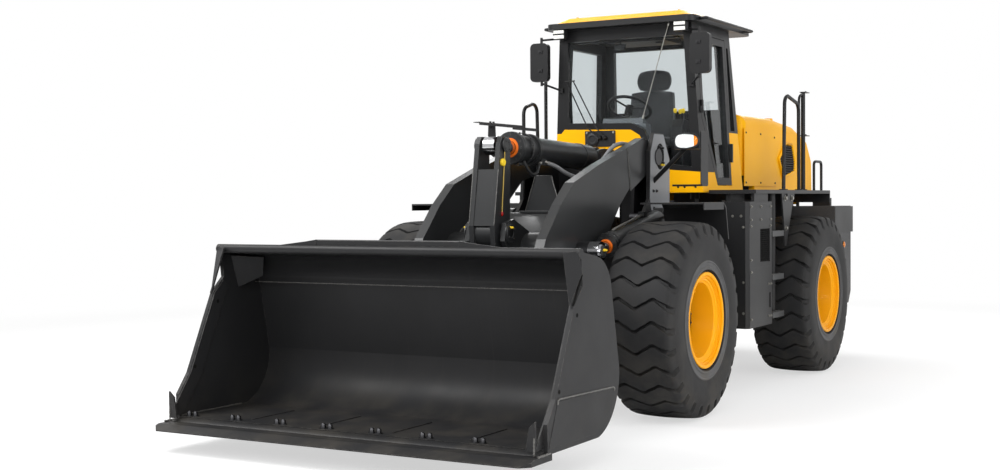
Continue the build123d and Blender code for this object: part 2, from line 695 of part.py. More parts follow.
with BuildPart() as boom:
    for side in (1, -1):
        y = side * BOOM_Y
        side_plate(BOOM_UPPER + ((BUCKET_PIVOT[0] + 60, BUCKET_PIVOT[1] + 60),) + BOOM_LOWER, y, BOOM_PLATE)
        round_y(BOOM_PIVOT, BOOM_HUB_RADIUS, y - BOOM_EYE_WIDTH / 2, y + BOOM_EYE_WIDTH / 2)
        root = ((BOOM_PIVOT[0] - 20, 2270), (-640, 2272), (-640, 1960), (BOOM_PIVOT[0] - 20, 1990))
        side_plate(root, y, BOOM_PLATE)
        round_y(BUCKET_PIVOT, BOOM_TIP_RADIUS, y - BOOM_EYE_WIDTH / 2, y + BOOM_EYE_WIDTH / 2)
        through = (y - BOOM_EYE_WIDTH, y + BOOM_EYE_WIDTH)
        round_y(BOOM_PIVOT, BOOM_PIN_RADIUS + PIN_GAP, *through, mode=Mode.SUBTRACT)
        round_y(BUCKET_PIVOT, ROCKER_PIN_RADIUS + PIN_GAP, *through, mode=Mode.SUBTRACT)
        round_y(LIFT_EYE, LIFT_PIN_RADIUS, *through, mode=Mode.SUBTRACT)
    # Cross tube between the arms and the ears that carry the rocker
    round_y(CROSS_TUBE, CROSS_TUBE_RADIUS, -BOOM_Y + BOOM_PLATE / 2, BOOM_Y - BOOM_PLATE / 2)
    round_y(
        CROSS_TUBE,
        CROSS_TUBE_RADIUS - CROSS_TUBE_WALL,
        -BOOM_Y + BOOM_PLATE / 2 + 1,
        BOOM_Y - BOOM_PLATE / 2 - 1,
        mode=Mode.SUBTRACT,
    )
    for side in (1, -1):
        ear = (
            (CROSS_TUBE[0] - 30, CROSS_TUBE[1] + CROSS_TUBE_RADIUS - 4),
            (ROCKER_PIVOT[0] - 60, ROCKER_PIVOT[1] + 110),
            (ROCKER_PIVOT[0] + 60, ROCKER_PIVOT[1] + 80),
            (ROCKER_PIVOT[0] + 90, ROCKER_PIVOT[1] - 60),
            (ROCKER_PIVOT[0] - 40, ROCKER_PIVOT[1] - 200),
            (CROSS_TUBE[0] + 40, CROSS_TUBE[1] - CROSS_TUBE_RADIUS + 6),
        )
        side_plate(ear, side * EAR_Y, EAR_PLATE)
        round_y(ROCKER_PIVOT, ROCKER_PIN_RADIUS, -EAR_Y - EAR_PLATE, EAR_Y + EAR_PLATE, mode=Mode.SUBTRACT)
write(boom.part, "boom")

with BuildPart() as boom_pins:
    ear_face = EAR_Y + EAR_PLATE / 2
    round_y(ROCKER_PIVOT, ROCKER_PIN_RADIUS, -ear_face - PIN_HEAD, ear_face + PIN_HEAD)
    for side in (1, -1):
        # Lift cylinder pins and their collars, up to the inner face of the rod's eye
        inside, arm_face = BOOM_Y - BOOM_PLATE / 2, BOOM_Y + BOOM_PLATE / 2
        outside = LIFT_Y - LIFT_EYE_WIDTH / 2 - FACE_GAP
        round_y(LIFT_EYE, LIFT_PIN_RADIUS, *sided(side, inside, outside))
        round_y(LIFT_EYE, LIFT_COLLAR_RADIUS, *sided(side, arm_face, outside))
write(boom_pins.part, "boom_pins")

# ---------------------------------------------------------------- rocker and link
with BuildPart() as rocker:
    for side in (1, -1):
        outline = (
            (ROCKER_TOP[0] - 80, ROCKER_TOP[1] + 15),
            (ROCKER_TOP[0] - 45, ROCKER_TOP[1] + 70),
            (ROCKER_TOP[0] + 45, ROCKER_TOP[1] + 70),
            (ROCKER_TOP[0] + 80, ROCKER_TOP[1] + 15),
            (ROCKER_PIVOT[0] + 135, ROCKER_PIVOT[1] + 60),
            (ROCKER_PIVOT[0] + 120, ROCKER_PIVOT[1] - 110),
            (ROCKER_FOOT[0] + 80, ROCKER_FOOT[1] + 10),
            (ROCKER_FOOT[0] + 50, ROCKER_FOOT[1] - 70),
            (ROCKER_FOOT[0] - 50, ROCKER_FOOT[1] - 70),
            (ROCKER_FOOT[0] - 80, ROCKER_FOOT[1] + 10),
            (ROCKER_PIVOT[0] - 110, ROCKER_PIVOT[1] - 100),
            (ROCKER_PIVOT[0] - 115, ROCKER_PIVOT[1] + 60),
        )
        side_plate(outline, side * ROCKER_PLATE_Y, ROCKER_PLATE)
    # Hub between the plates and the webs above and below it
    round_y(ROCKER_PIVOT, ROCKER_HUB_RADIUS, -ROCKER_PLATE_Y, ROCKER_PLATE_Y)
    side_plate(
        (
            (ROCKER_PIVOT[0] - 60, ROCKER_PIVOT[1] + 80),
            (ROCKER_TOP[0] + 20, ROCKER_TOP[1] - 190),
            (ROCKER_TOP[0] + 80, ROCKER_TOP[1] - 190),
            (ROCKER_PIVOT[0] + 80, ROCKER_PIVOT[1] + 80),
        ),
        0,
        2 * ROCKER_PLATE_Y,
    )
    side_plate(
        (
            (ROCKER_PIVOT[0] - 60, ROCKER_PIVOT[1] - 80),
            (ROCKER_PIVOT[0] - 40, ROCKER_PIVOT[1] - 330),
            (ROCKER_PIVOT[0] + 20, ROCKER_PIVOT[1] - 330),
            (ROCKER_PIVOT[0] + 80, ROCKER_PIVOT[1] - 80),
        ),
        0,
        2 * ROCKER_PLATE_Y,
    )
    # Thin front plates between the side plates, above and below the hub
    upper_front = (
        (ROCKER_TOP[0] + 85, ROCKER_TOP[1] - 190),
        (ROCKER_TOP[0] + 105, ROCKER_TOP[1] - 190),
        (ROCKER_PIVOT[0] + 130, ROCKER_PIVOT[1] + 60),
        (ROCKER_PIVOT[0] + 110, ROCKER_PIVOT[1] + 60),
    )
    lower_front = (
        (ROCKER_PIVOT[0] + 95, ROCKER_PIVOT[1] - 110),
        (ROCKER_PIVOT[0] + 115, ROCKER_PIVOT[1] - 110),
        (ROCKER_FOOT[0] + 85, ROCKER_FOOT[1] + 270),
        (ROCKER_FOOT[0] + 65, ROCKER_FOOT[1] + 270),
    )
    for front_plate in (upper_front, lower_front):
        side_plate(front_plate, 0, 2 * ROCKER_PLATE_Y)
    bore = 2 * ROCKER_PLATE_Y
    round_y(ROCKER_PIVOT, ROCKER_PIN_RADIUS + PIN_GAP, -bore, bore, mode=Mode.SUBTRACT)
write(rocker.part, "rocker")

with BuildPart() as bucket_link:
    direction = along(LINK_PIN, ROCKER_FOOT, 1)
    ux, uz = direction[0] - LINK_PIN[0], direction[1] - LINK_PIN[1]
    half = LINK_DEPTH / 2
    body = (
        (LINK_PIN[0] - uz * half, LINK_PIN[1] + ux * half),
        (ROCKER_FOOT[0] - uz * half, ROCKER_FOOT[1] + ux * half),
        (ROCKER_FOOT[0] + uz * half, ROCKER_FOOT[1] - ux * half),
        (LINK_PIN[0] + uz * half, LINK_PIN[1] - ux * half),
    )
    side_plate(body, 0, LINK_WIDTH)
    for eye in (LINK_PIN, ROCKER_FOOT):
        round_y(eye, LINK_EYE_RADIUS, -LINK_WIDTH / 2, LINK_WIDTH / 2)
    round_y(LINK_PIN, ROCKER_PIN_RADIUS + PIN_GAP, -LINK_WIDTH, LINK_WIDTH, mode=Mode.SUBTRACT)
write(bucket_link.part, "bucket_link")

# ---------------------------------------------------------------- bucket
HEEL = ((2160, BUCKET_FLOOR_Z), (1925, 330), (1830, 620))
BACK_X = 1950  # top of the bucket's back, from the front axle
BUCKET_DEPTH = FRONT_REACH - BACK_X
TOP_CORNER = ((BACK_X, 1190), (BACK_X + 0.067 * BUCKET_DEPTH, 1320), (BACK_X + 0.192 * BUCKET_DEPTH, 1385))
LIP_END = (BACK_X + 0.375 * BUCKET_DEPTH, 1425)
LIP_TUBE_RADIUS = 34
FLOOR_FRONT = FRONT_REACH - 270
SIDE_FRONT = (
    (FRONT_REACH - 150, 215),
    (BACK_X + 0.683 * BUCKET_DEPTH, 520),
    (BACK_X + 0.458 * BUCKET_DEPTH, 1090),
    (BACK_X + 0.358 * BUCKET_DEPTH, 1200),
)
LINK_LUG_Y = LINK_WIDTH / 2 + LUG_GAP + LUG_PLATE / 2
HINGE_LUG_OUTER_Y = BOOM_Y + BOOM_HUB_WIDTH / 2 + LUG_GAP + LUG_PLATE / 2
HINGE_LUG_INNER_Y = BOOM_Y - BOOM_HUB_WIDTH / 2 - LUG_GAP - LUG_PLATE / 2


def bucket_section(inset, y, width, front, mode=Mode.ADD):
    """Bucket's side profile drawn inset from its outer skin, open towards the front."""
    (h0, h1, h2), (t0, t1, t2) = HEEL, TOP_CORNER
    floor_end = place((h0[0], h0[1] + inset))
    heel = place((h1[0] + inset * 0.8, h1[1] + inset * 0.6))
    back_low, back_high = place((h2[0] + inset, h2[1])), place((t0[0] + inset, t0[1]))
    corner = place((t1[0] + inset * 0.7, t1[1] - inset * 0.7))
    top_start, top_end = place((t2[0], t2[1] - inset)), place((LIP_END[0], LIP_END[1] - inset))
    mouth_high, mouth_low = place((front, LIP_END[1] - inset)), place((front, h0[1] + inset))
    with BuildSketch(Plane.XZ.offset(-y)) as profile:
        with BuildLine():
            Line(mouth_low, floor_end)
            ThreePointArc(floor_end, heel, back_low)
            Line(back_low, back_high)
            ThreePointArc(back_high, corner, top_start)
            Polyline(top_start, top_end, mouth_high, mouth_low)
        make_face()
    extrude(profile.sketch, amount=width / 2, both=True, mode=mode)


with BuildPart() as bucket:
    # Outer skin, solid until its lugs are on
    bucket_section(0, 0, BUCKET_WIDTH, FLOOR_FRONT)
    # Lugs on the back: two for each arm and two for the link
    hinge_lug = (
        (1905, 400),
        (1860, 340),
        (BUCKET_PIVOT[0] + 60, BUCKET_PIVOT[1] - 105),
        (BUCKET_PIVOT[0] - 60, BUCKET_PIVOT[1] - 90),
        (BUCKET_PIVOT[0] - 105, BUCKET_PIVOT[1]),
        (BUCKET_PIVOT[0] - 60, BUCKET_PIVOT[1] + 95),
        (BUCKET_PIVOT[0] + 90, BUCKET_PIVOT[1] + 180),
        (1850, 960),
        (1900, 960),
        (1860, 620),
    )
    link_lug = (
        (1905, 400),
        (1790, 470),
        (LINK_PIN[0] - 40, LINK_PIN[1] - 85),
        (LINK_PIN[0] - 85, LINK_PIN[1]),
        (LINK_PIN[0] - 50, LINK_PIN[1] + 75),
        (1860, 1060),
        (1930, 1060),
        (1860, 620),
    )
    for side in (1, -1):
        for y in (HINGE_LUG_OUTER_Y, HINGE_LUG_INNER_Y):
            side_plate(hinge_lug, side * y, LUG_PLATE)
        side_plate(link_lug, side * LINK_LUG_Y, LUG_PLATE)
        reach = HINGE_LUG_OUTER_Y + LUG_PLATE
        round_y(
            BUCKET_PIVOT,
            ROCKER_PIN_RADIUS,
            *sided(side, HINGE_LUG_INNER_Y - LUG_PLATE, reach),
            mode=Mode.SUBTRACT,
        )
    round_y(LINK_PIN, ROCKER_PIN_RADIUS, -2 * LINK_LUG_Y, 2 * LINK_LUG_Y, mode=Mode.SUBTRACT)
    # Hollow between the side plates, open at the front
    bucket_section(BUCKET_PLATE, 0, BUCKET_WIDTH - 2 * BUCKET_SIDE, FLOOR_FRONT + 600, mode=Mode.SUBTRACT)
    # The side plates' slanting front edge
    cut = (
        (SIDE_FRONT[0][0] + 200, SIDE_FRONT[0][1] + 20),
        (SIDE_FRONT[0][0] - 10, SIDE_FRONT[0][1] + 20),
        SIDE_FRONT[1],
        SIDE_FRONT[2],
        SIDE_FRONT[3],
        (LIP_END[0], LIP_END[1] - BUCKET_PLATE - 40),
        (LIP_END[0], LIP_END[1] - BUCKET_PLATE),
        (LIP_END[0] + 1, LIP_END[1] + 60),
        (SIDE_FRONT[0][0] + 200, LIP_END[1] + 60),
    )
    side_plate(cut, 0, BUCKET_WIDTH + 2, mode=Mode.SUBTRACT)
    # Rolled lip along the top and the raised spill guard in its middle
    round_y(
        (LIP_END[0], LIP_END[1] - BUCKET_PLATE / 2), LIP_TUBE_RADIUS, -BUCKET_WIDTH / 2, BUCKET_WIDTH / 2
    )
    side_plate(
        (
            (TOP_CORNER[2][0] - 60, TOP_CORNER[2][1] - 30),
            (LIP_END[0] - 14, LIP_END[1] + GUARD_RISE),
            (LIP_END[0] + 10, LIP_END[1] + GUARD_RISE - 6),
            (LIP_END[0] + 4, LIP_END[1] - 10),
            (TOP_CORNER[2][0], TOP_CORNER[2][1] - 15),
        ),
        0,
        2 * GUARD_HALF,
    )
write(bucket.part, "bucket")

with BuildPart() as bucket_pins:
    for side in (1, -1):
        inside = HINGE_LUG_INNER_Y - LUG_PLATE / 2 - PIN_HEAD
        outside = HINGE_LUG_OUTER_Y + LUG_PLATE / 2 + PIN_HEAD
        round_y(BUCKET_PIVOT, ROCKER_PIN_RADIUS, *sided(side, inside, outside))
    round_y(
        LINK_PIN,
        ROCKER_PIN_RADIUS,
        -LINK_LUG_Y - LUG_PLATE / 2 - PIN_HEAD,
        LINK_LUG_Y + LUG_PLATE / 2 + PIN_HEAD,
    )
write(bucket_pins.part, "bucket_pins")

with BuildPart() as cutting_edge:
    top, low = BUCKET_FLOOR_Z, BUCKET_FLOOR_Z - EDGE_PLATE
    side_plate(
        (
            (FRONT_REACH - EDGE_LENGTH, top),
            (FRONT_REACH - EDGE_BEVEL, top),
            (FRONT_REACH, low + 8),
            (FRONT_REACH, low),
            (FRONT_REACH - EDGE_LENGTH, low),
        ),
        0,
        BUCKET_WIDTH,
    )
    # Cut corners at the tips
    for side in (1, -1):
        flat_plate(
            (
                (FRONT_REACH + 1, side * (BUCKET_WIDTH / 2 + 1)),
                (FRONT_REACH - EDGE_CORNER, side * (BUCKET_WIDTH / 2 + 1)),
                (FRONT_REACH + 1, side * (BUCKET_WIDTH / 2 - EDGE_CORNER)),
            ),
            low - 1,
            top + 1,
            mode=Mode.SUBTRACT,
        )
write(cutting_edge.part, "cutting_edge")

# ---------------------------------------------------------------- hydraulic cylinders
NECK = 15  # from a base eye's rim to the barrel's end


def cylinder_barrel(base, eye, y, radius, rod_radius, eye_radius, eye_width, pin_radius, rod_shown):
    """Barrel from its base eye towards the rod's eye, hollow for the rod."""
    length = math.dist(base, eye) - rod_shown
    start, end = in_side(along(base, eye, eye_radius + NECK), y), in_side(along(base, eye, length), y)
    rod_between(start, end, radius)
    rod_between(in_side(base, y), start, eye_width / 2 - 5)
    round_y(base, eye_radius, y - eye_width / 2, y + eye_width / 2)
    bore_start = in_side(along(base, eye, eye_radius + 30), y)
    rod_between(
        bore_start, in_side(along(base, eye, length + 1), y), rod_radius + PIN_GAP, mode=Mode.SUBTRACT
    )
    round_y(base, pin_radius + PIN_GAP, y - eye_width, y + eye_width, mode=Mode.SUBTRACT)


def cylinder_rod(base, eye, y, rod_radius, eye_radius, eye_width, inside):
    """Rod from a place inside the barrel out to its eye."""
    rod_between(in_side(along(base, eye, inside), y), in_side(eye, y), rod_radius)
    round_y(eye, eye_radius, y - eye_width / 2, y + eye_width / 2)


LIFT_ROD_START = 235  # from the base pin to the rod's inner end
with BuildPart() as lift_barrels:
    for side in (1, -1):
        cylinder_barrel(
            LIFT_BASE,
            LIFT_EYE,
            side * LIFT_Y,
            LIFT_BARREL_RADIUS,
            LIFT_ROD_RADIUS,
            LIFT_EYE_RADIUS,
            LIFT_EYE_WIDTH,
            LIFT_PIN_RADIUS,
            LIFT_ROD_SHOWN,
        )
write(lift_barrels.part, "lift_barrels")

with BuildPart() as lift_rods:
    for side in (1, -1):
        cylinder_rod(
            LIFT_BASE,
            LIFT_EYE,
            side * LIFT_Y,
            LIFT_ROD_RADIUS,
            LIFT_EYE_RADIUS - 5,
            LIFT_EYE_WIDTH,
            LIFT_ROD_START,
        )
        # Cap over the pin on the eye's outer face
        cap = LIFT_Y + LIFT_EYE_WIDTH / 2
        round_y(LIFT_EYE, LIFT_CAP_RADIUS, *sided(side, cap, cap + PIN_HEAD))
write(lift_rods.part, "lift_rods")

DUMP_ROD_START = 550
with BuildPart() as dump_barrel:
    cylinder_barrel(
        BOOM_PIVOT,
        ROCKER_TOP,
        0,
        DUMP_BARREL_RADIUS,
        DUMP_ROD_RADIUS,
        DUMP_EYE_RADIUS,
        DUMP_EYE_WIDTH,
        DUMP_PIN_RADIUS,
        DUMP_ROD_SHOWN,
    )
    # Long bolted gland at the mouth
    mouth = math.dist(BOOM_PIVOT, ROCKER_TOP) - DUMP_ROD_SHOWN
    rod_between(
        in_side(along(BOOM_PIVOT, ROCKER_TOP, mouth - DUMP_GLAND_LENGTH), 0),
        in_side(along(BOOM_PIVOT, ROCKER_TOP, mouth - DUMP_GLAND_LENGTH + 45), 0),
        DUMP_GLAND_RADIUS,
    )
    rod_between(
        in_side(along(BOOM_PIVOT, ROCKER_TOP, mouth - 50), 0),
        in_side(along(BOOM_PIVOT, ROCKER_TOP, mouth), 0),
        DUMP_GLAND_RADIUS,
    )
    rod_between(
        in_side(along(BOOM_PIVOT, ROCKER_TOP, DUMP_EYE_RADIUS + 40), 0),
        in_side(along(BOOM_PIVOT, ROCKER_TOP, mouth + 1), 0),
        DUMP_ROD_RADIUS + PIN_GAP,
        mode=Mode.SUBTRACT,
    )
write(dump_barrel.part, "dump_barrel")

with BuildPart() as dump_rod:
    cylinder_rod(
        BOOM_PIVOT, ROCKER_TOP, 0, DUMP_ROD_RADIUS, DUMP_EYE_RADIUS - 25, DUMP_EYE_WIDTH, DUMP_ROD_START
    )
write(dump_rod.part, "dump_rod")

with BuildPart() as rocker_pins:
    outside = ROCKER_PLATE_Y + ROCKER_PLATE / 2
    for side in (1, -1):
        for centre in (ROCKER_TOP, ROCKER_FOOT):
            round_y(centre, ROCKER_PIN_RADIUS + 10, *sided(side, outside, outside + PIN_HEAD))
write(rocker_pins.part, "rocker_pins")


def steer_point(point, side):
    return (ahead(point[0]), side * point[1], STEER_Z)


for side_name, side in SIDES:
    rear, front = Vector(*steer_point(STEER_REAR, side)), Vector(*steer_point(STEER_FRONT, side))
    aim = (front - rear).normalized()
    length = (front - rear).length
    neck_end = rear + aim * (STEER_EYE_RADIUS + NECK)
    with BuildPart() as steer_barrel:
        rod_between(neck_end, rear + aim * (length - STEER_ROD_SHOWN), STEER_BARREL_RADIUS)
        rod_between(rear, neck_end, STEER_EYE_HEIGHT / 2 - 4)
        round_z(STEER_REAR[0], side * STEER_REAR[1], STEER_EYE_RADIUS, STEER_EYE_LOW, STEER_EYE_HIGH)
        rod_between(
            rear + aim * (STEER_EYE_RADIUS + 20),
            rear + aim * (length - STEER_ROD_SHOWN + 1),
            STEER_ROD_RADIUS + PIN_GAP,
            mode=Mode.SUBTRACT,
        )
        round_z(
            STEER_REAR[0],
            side * STEER_REAR[1],
            STEER_PIN_RADIUS + PIN_GAP,
            STEER_Z - STEER_BARREL_RADIUS - 1,
            STEER_Z + STEER_BARREL_RADIUS + 1,
            mode=Mode.SUBTRACT,
        )
    write(steer_barrel.part, f"steering_barrel_{side_name}")

    with BuildPart() as steer_rod:
        rod_between(rear + aim * STEER_ROD_START, front, STEER_ROD_RADIUS)
        round_z(STEER_FRONT[0], side * STEER_FRONT[1], STEER_EYE_RADIUS - 8, STEER_EYE_LOW, STEER_EYE_HIGH)
    write(steer_rod.part, f"steering_rod_{side_name}")

# ---------------------------------------------------------------- rear frame
ENGINE_X = (REAR_X - 1230, REAR_X - 230)
ENGINE_HALF = 330
ENGINE_Z = (1090, 2250)
BOX_STAY_X = (REAR_X + 1230, REAR_X + 1400)
with BuildPart() as rear_frame:
    for side in (1, -1):
        side_plate(
            (
                (RAIL_FRONT_X, RAIL_LOW),
                (RAIL_FRONT_X, HINGE_LEVELS[1] + HINGE_EAR + HINGE_GAP + HINGE_FORK),
                (REAR_X + 1280, 1420),
                (REAR_X + 380, 1420),
                (REAR_X + 180, 1240),
                (RAIL_BACK_X, 1240),
                (RAIL_BACK_X, 900),
                (REAR_X - 520, 820),
                (REAR_X - AXLE_BOWL_RADIUS - 60, 820),
                (REAR_X - AXLE_TUBE_RADIUS - 40, AXLE_Z + AXLE_TUBE_RADIUS + 60),
                (REAR_X + AXLE_TUBE_RADIUS + 40, AXLE_Z + AXLE_TUBE_RADIUS + 60),
                (REAR_X + AXLE_BOWL_RADIUS + 60, 640),
                (REAR_X + 980, RAIL_LOW),
            ),
            side * RAIL_Y,
            RAIL_PLATE,
        )
    # Fork plates above and below each ear of the front frame
    for level in HINGE_LEVELS:
        for z_low in (level - HINGE_GAP - HINGE_FORK, level + HINGE_EAR + HINGE_GAP):
            with BuildSketch(Plane.XY.offset(z_low)) as fork:
                with BuildLine():
                    Polyline(
                        (PIVOT_X, HINGE_EYE_RADIUS),
                        (ahead(RAIL_FRONT_X), RAIL_Y + RAIL_PLATE / 2),
                        (ahead(RAIL_FRONT_X - 120), RAIL_Y + RAIL_PLATE / 2),
                        (ahead(RAIL_FRONT_X - 120), -RAIL_Y - RAIL_PLATE / 2),
                        (ahead(RAIL_FRONT_X), -RAIL_Y - RAIL_PLATE / 2),
                        (PIVOT_X, -HINGE_EYE_RADIUS),
                        close=True,
                    )
                make_face()
                with Locations((PIVOT_X, 0)):
                    Circle(HINGE_EYE_RADIUS)
                    Circle(HINGE_PIN_RADIUS, mode=Mode.SUBTRACT)
            extrude(fork.sketch, amount=HINGE_FORK)
    # Front wall behind the forks, cross members and the cab's bearers
    wall_top = HINGE_LEVELS[1] + HINGE_EAR + HINGE_GAP
    block((RAIL_FRONT_X - 30, RAIL_FRONT_X), (-RAIL_Y, RAIL_Y), (RAIL_LOW, wall_top))
    for x in (REAR_X + 1180, REAR_X + 370, REAR_X - 1320):
        block((x - 60, x), (-RAIL_Y, RAIL_Y), (940, 1240))
    for x in (REAR_X + 1400, REAR_X + 680):
        # Cab bearers: cross bars on the rails that reach out under the cab
        block((x - 100, x), (-560, 560), (1360, 1420))
        for side in (1, -1):
            block((x - 100, x), sided(side, 520, 560), (1420, 1760))
            round_z(x - 50, side * 540, 45, 1760, CAB_FLOOR_Z)
    # Outriggers to the side boxes and the rear deck
    for side in (1, -1):
        block(BOX_STAY_X, sided(side, RAIL_Y, BOX_INNER_Y), (1000, 1060))
        block(BOX_STAY_X, sided(side, 560, BOX_INNER_Y), (1360, 1420))
        # Lugs of the steering cylinders
        for z_low in (STEER_EYE_LOW - SIDE_GAP - STEER_LUG, STEER_EYE_HIGH + SIDE_GAP):
            with BuildSketch(Plane.XY.offset(z_low)) as lug:
                with BuildLine():
                    Polyline(
                        (ahead(STEER_REAR[0] + 90), side * (RAIL_Y - 4)),
                        (ahead(STEER_REAR[0] + STEER_EYE_RADIUS - 8), side * STEER_REAR[1]),
                        (ahead(STEER_REAR[0] - STEER_EYE_RADIUS + 8), side * STEER_REAR[1]),
                        (ahead(STEER_REAR[0] - 90), side * (RAIL_Y - 4)),
                        close=True,
                    )
                make_face()
                with Locations((ahead(STEER_REAR[0]), side * STEER_REAR[1])):
                    Circle(STEER_EYE_RADIUS)
            extrude(lug.sketch, amount=STEER_LUG)
        pin_low, pin_high = STEER_Z - STEER_EYE_RADIUS, STEER_Z + STEER_EYE_RADIUS
        round_z(STEER_REAR[0], side * STEER_REAR[1], STEER_PIN_RADIUS, pin_low, pin_high)
        # Saddle on the rear axle's tube
        block(
            (REAR_X - 110, REAR_X + 110),
            sided(side, RAIL_Y + RAIL_PLATE / 2, 340),
            (AXLE_Z + AXLE_TUBE_RADIUS, AXLE_Z + AXLE_TUBE_RADIUS + 90),
        )
write(rear_frame.part, "rear_frame")

with BuildPart() as frame_pins:
    for level in HINGE_LEVELS:
        low, high = level - HINGE_GAP - HINGE_FORK, level + HINGE_EAR + HINGE_GAP + HINGE_FORK
        with BuildSketch(Plane.XY.offset(low)) as pin:
            with Locations((PIVOT_X, 0)):
                Circle(HINGE_PIN_RADIUS)
        extrude(pin.sketch, amount=high - low)
        with BuildSketch(Plane.XY.offset(high)) as head:
            with Locations((PIVOT_X, 0)):
                Circle(HINGE_PIN_RADIUS + 20)
        extrude(head.sketch, amount=PIN_HEAD)
write(frame_pins.part, "frame_pins")

with BuildPart() as engine:
    block(ENGINE_X, (-RAIL_Y + RAIL_PLATE / 2, RAIL_Y - RAIL_PLATE / 2), (1000, 1250))
    block(ENGINE_X, (-ENGINE_HALF, ENGINE_HALF), (1250, ENGINE_Z[1]))
write(engine.part, "engine_block")

# ---------------------------------------------------------------- side boxes, steps and decks
with BuildPart() as side_boxes:
    for side in (1, -1):
        outline = (
            (BOX_BACK_X, BOX_INNER_Y),
            (BOX_FRONT_X, BOX_INNER_Y),
            (BOX_FRONT_X, BOX_OUTER_Y - BOX_CORNER / 2),
            (BOX_FRONT_X - BOX_CORNER / 2, BOX_OUTER_Y),
            (BOX_BACK_X, BOX_OUTER_Y),
        )
        flat_plate([(x, side * y) for x, y in outline], BOX_LOW, BOX_TOP)
        # Shallow recess of the vent
        block(
            (BOX_VENT_BACK_X, BOX_VENT_BACK_X + BOX_VENT_LENGTH),
            sided(side, BOX_OUTER_Y - BOX_VENT_DEPTH, BOX_OUTER_Y + 1),
            BOX_VENT_Z,
            mode=Mode.SUBTRACT,
        )
write(side_boxes.part, "side_boxes")

with BuildPart() as decks:
    for side in (1, -1):
        low = DECK_TOP - DECK_PLATE
        inner, outer = DECK_INNER_Y, DECK_OUTER_Y
        block((DECK_BACK_X, DECK_FRONT_X), sided(side, inner, outer), (low, DECK_TOP))
        # Stand of the deck on the side box and the plate that hangs before the rear wheel
        block(
            (BOX_BACK_X + 40, DECK_FRONT_X - 40),
            sided(side, BOX_INNER_Y + 40, BOX_INNER_Y + 80),
            (BOX_TOP, low),
        )
        block((BOX_BACK_X + 40, DECK_FRONT_X - 40), sided(side, outer - 60, outer - 30), (BOX_TOP, low))
        side_plate(
            (
                (REAR_X + 880, low),
                (REAR_X + 480, low),
                (REAR_X + 580, 1640),
                (REAR_X + 740, 1300),
                (REAR_X + 790, 1300),
                (REAR_X + 820, 1560),
            ),
            side * (outer - 20),
            16,
        )
        # Bracket of the deck on the frame and its turned-down rear end
        block((REAR_X + 680, REAR_X + 740), sided(side, 520, outer), (low - 60, low))
        block((DECK_BACK_X, DECK_BACK_X + 16), sided(side, inner, outer), (low - 90, low))
write(decks.part, "decks")

with BuildPart() as steps:
    for side in (1, -1):
        # Upright, treads and the arms that carry them on the side box
        round_z(
            (STEP_FRONT_X + STEP_BACK_X) / 2 - 60,
            side * (BOX_OUTER_Y - 90),
            STEP_POST_RADIUS,
            STEP_LEVELS[0],
            DECK_TOP - DECK_PLATE,
        )
        for level in STEP_LEVELS:
            block(
                (STEP_BACK_X, BOX_BACK_X),
                sided(side, BOX_OUTER_Y - 200, BOX_OUTER_Y),
                (level, level + STEP_TREAD),
            )
write(steps.part, "steps")

with BuildPart() as handrails:
    foot = DECK_TOP - DECK_PLATE / 2
    # Left: a long hoop over the deck and a tall post at its back
    rail_y = DECK_OUTER_Y - 60
    bent_tube(
        (
            (ahead(REAR_X + 680), rail_y, foot),
            (ahead(REAR_X + 640), rail_y, 2780),
            (ahead(REAR_X + 200), rail_y, 2700),
            (ahead(REAR_X + 190), rail_y, foot),
        ),
        RAIL_TUBE_RADIUS,
        RAIL_BEND,
    )
    round_z(REAR_X + 50, rail_y, RAIL_TUBE_RADIUS + 4, foot, 2830)
    # Right: a low hoop by the cab and a tall post
    bent_tube(
        (
            (ahead(REAR_X + 1580), -rail_y, foot),
            (ahead(REAR_X + 1580), -rail_y, 2680),
            (ahead(REAR_X + 1300), -rail_y, 2760),
            (ahead(REAR_X + 1260), -rail_y, foot),
        ),
        RAIL_TUBE_RADIUS,
        RAIL_BEND,
    )
    round_z(REAR_X + 1100, -rail_y, RAIL_TUBE_RADIUS, foot, 3180)
    # Short loops at the decks' rear ends
    for side in (1, -1):
        bent_tube(
            (
                (ahead(REAR_X - 580), side * rail_y, foot),
                (ahead(REAR_X - 580), side * rail_y, 2140),
                (ahead(REAR_X - 320), side * rail_y, 2140),
                (ahead(REAR_X - 320), side * rail_y, foot),
            ),
            RAIL_TUBE_RADIUS - 4,
            RAIL_BEND / 2,
        )
    block(
        (DECK_BACK_X, DECK_FRONT_X),
        (-DECK_OUTER_Y, DECK_OUTER_Y),
        (DECK_TOP - DECK_PLATE, DECK_TOP),
        mode=Mode.SUBTRACT,
    )
write(handrails.part, "handrails")

# ---------------------------------------------------------------- cab
CAB_LEAN = (CAB_HALF - CAB_TOP_HALF) / (CAB_ROOF_Z - CAB_FLOOR_Z)
FRONT_LEAN = (CAB_TOP_FRONT_X - CAB_FRONT_X) / (CAB_ROOF_Z - CAB_FLOOR_Z)
BACK_LEAN = (CAB_TOP_BACK_X - CAB_BACK_X) / (CAB_ROOF_Z - CAB_FLOOR_Z)


def cab_y(z, inset=0):
    return CAB_HALF - CAB_LEAN * (z - CAB_FLOOR_Z) - inset


def cab_front(z, inset=0):
    return CAB_FRONT_X + FRONT_LEAN * (z - CAB_FLOOR_Z) - inset


def cab_back(z, inset=0):
    return CAB_BACK_X + BACK_LEAN * (z - CAB_FLOOR_Z) + inset


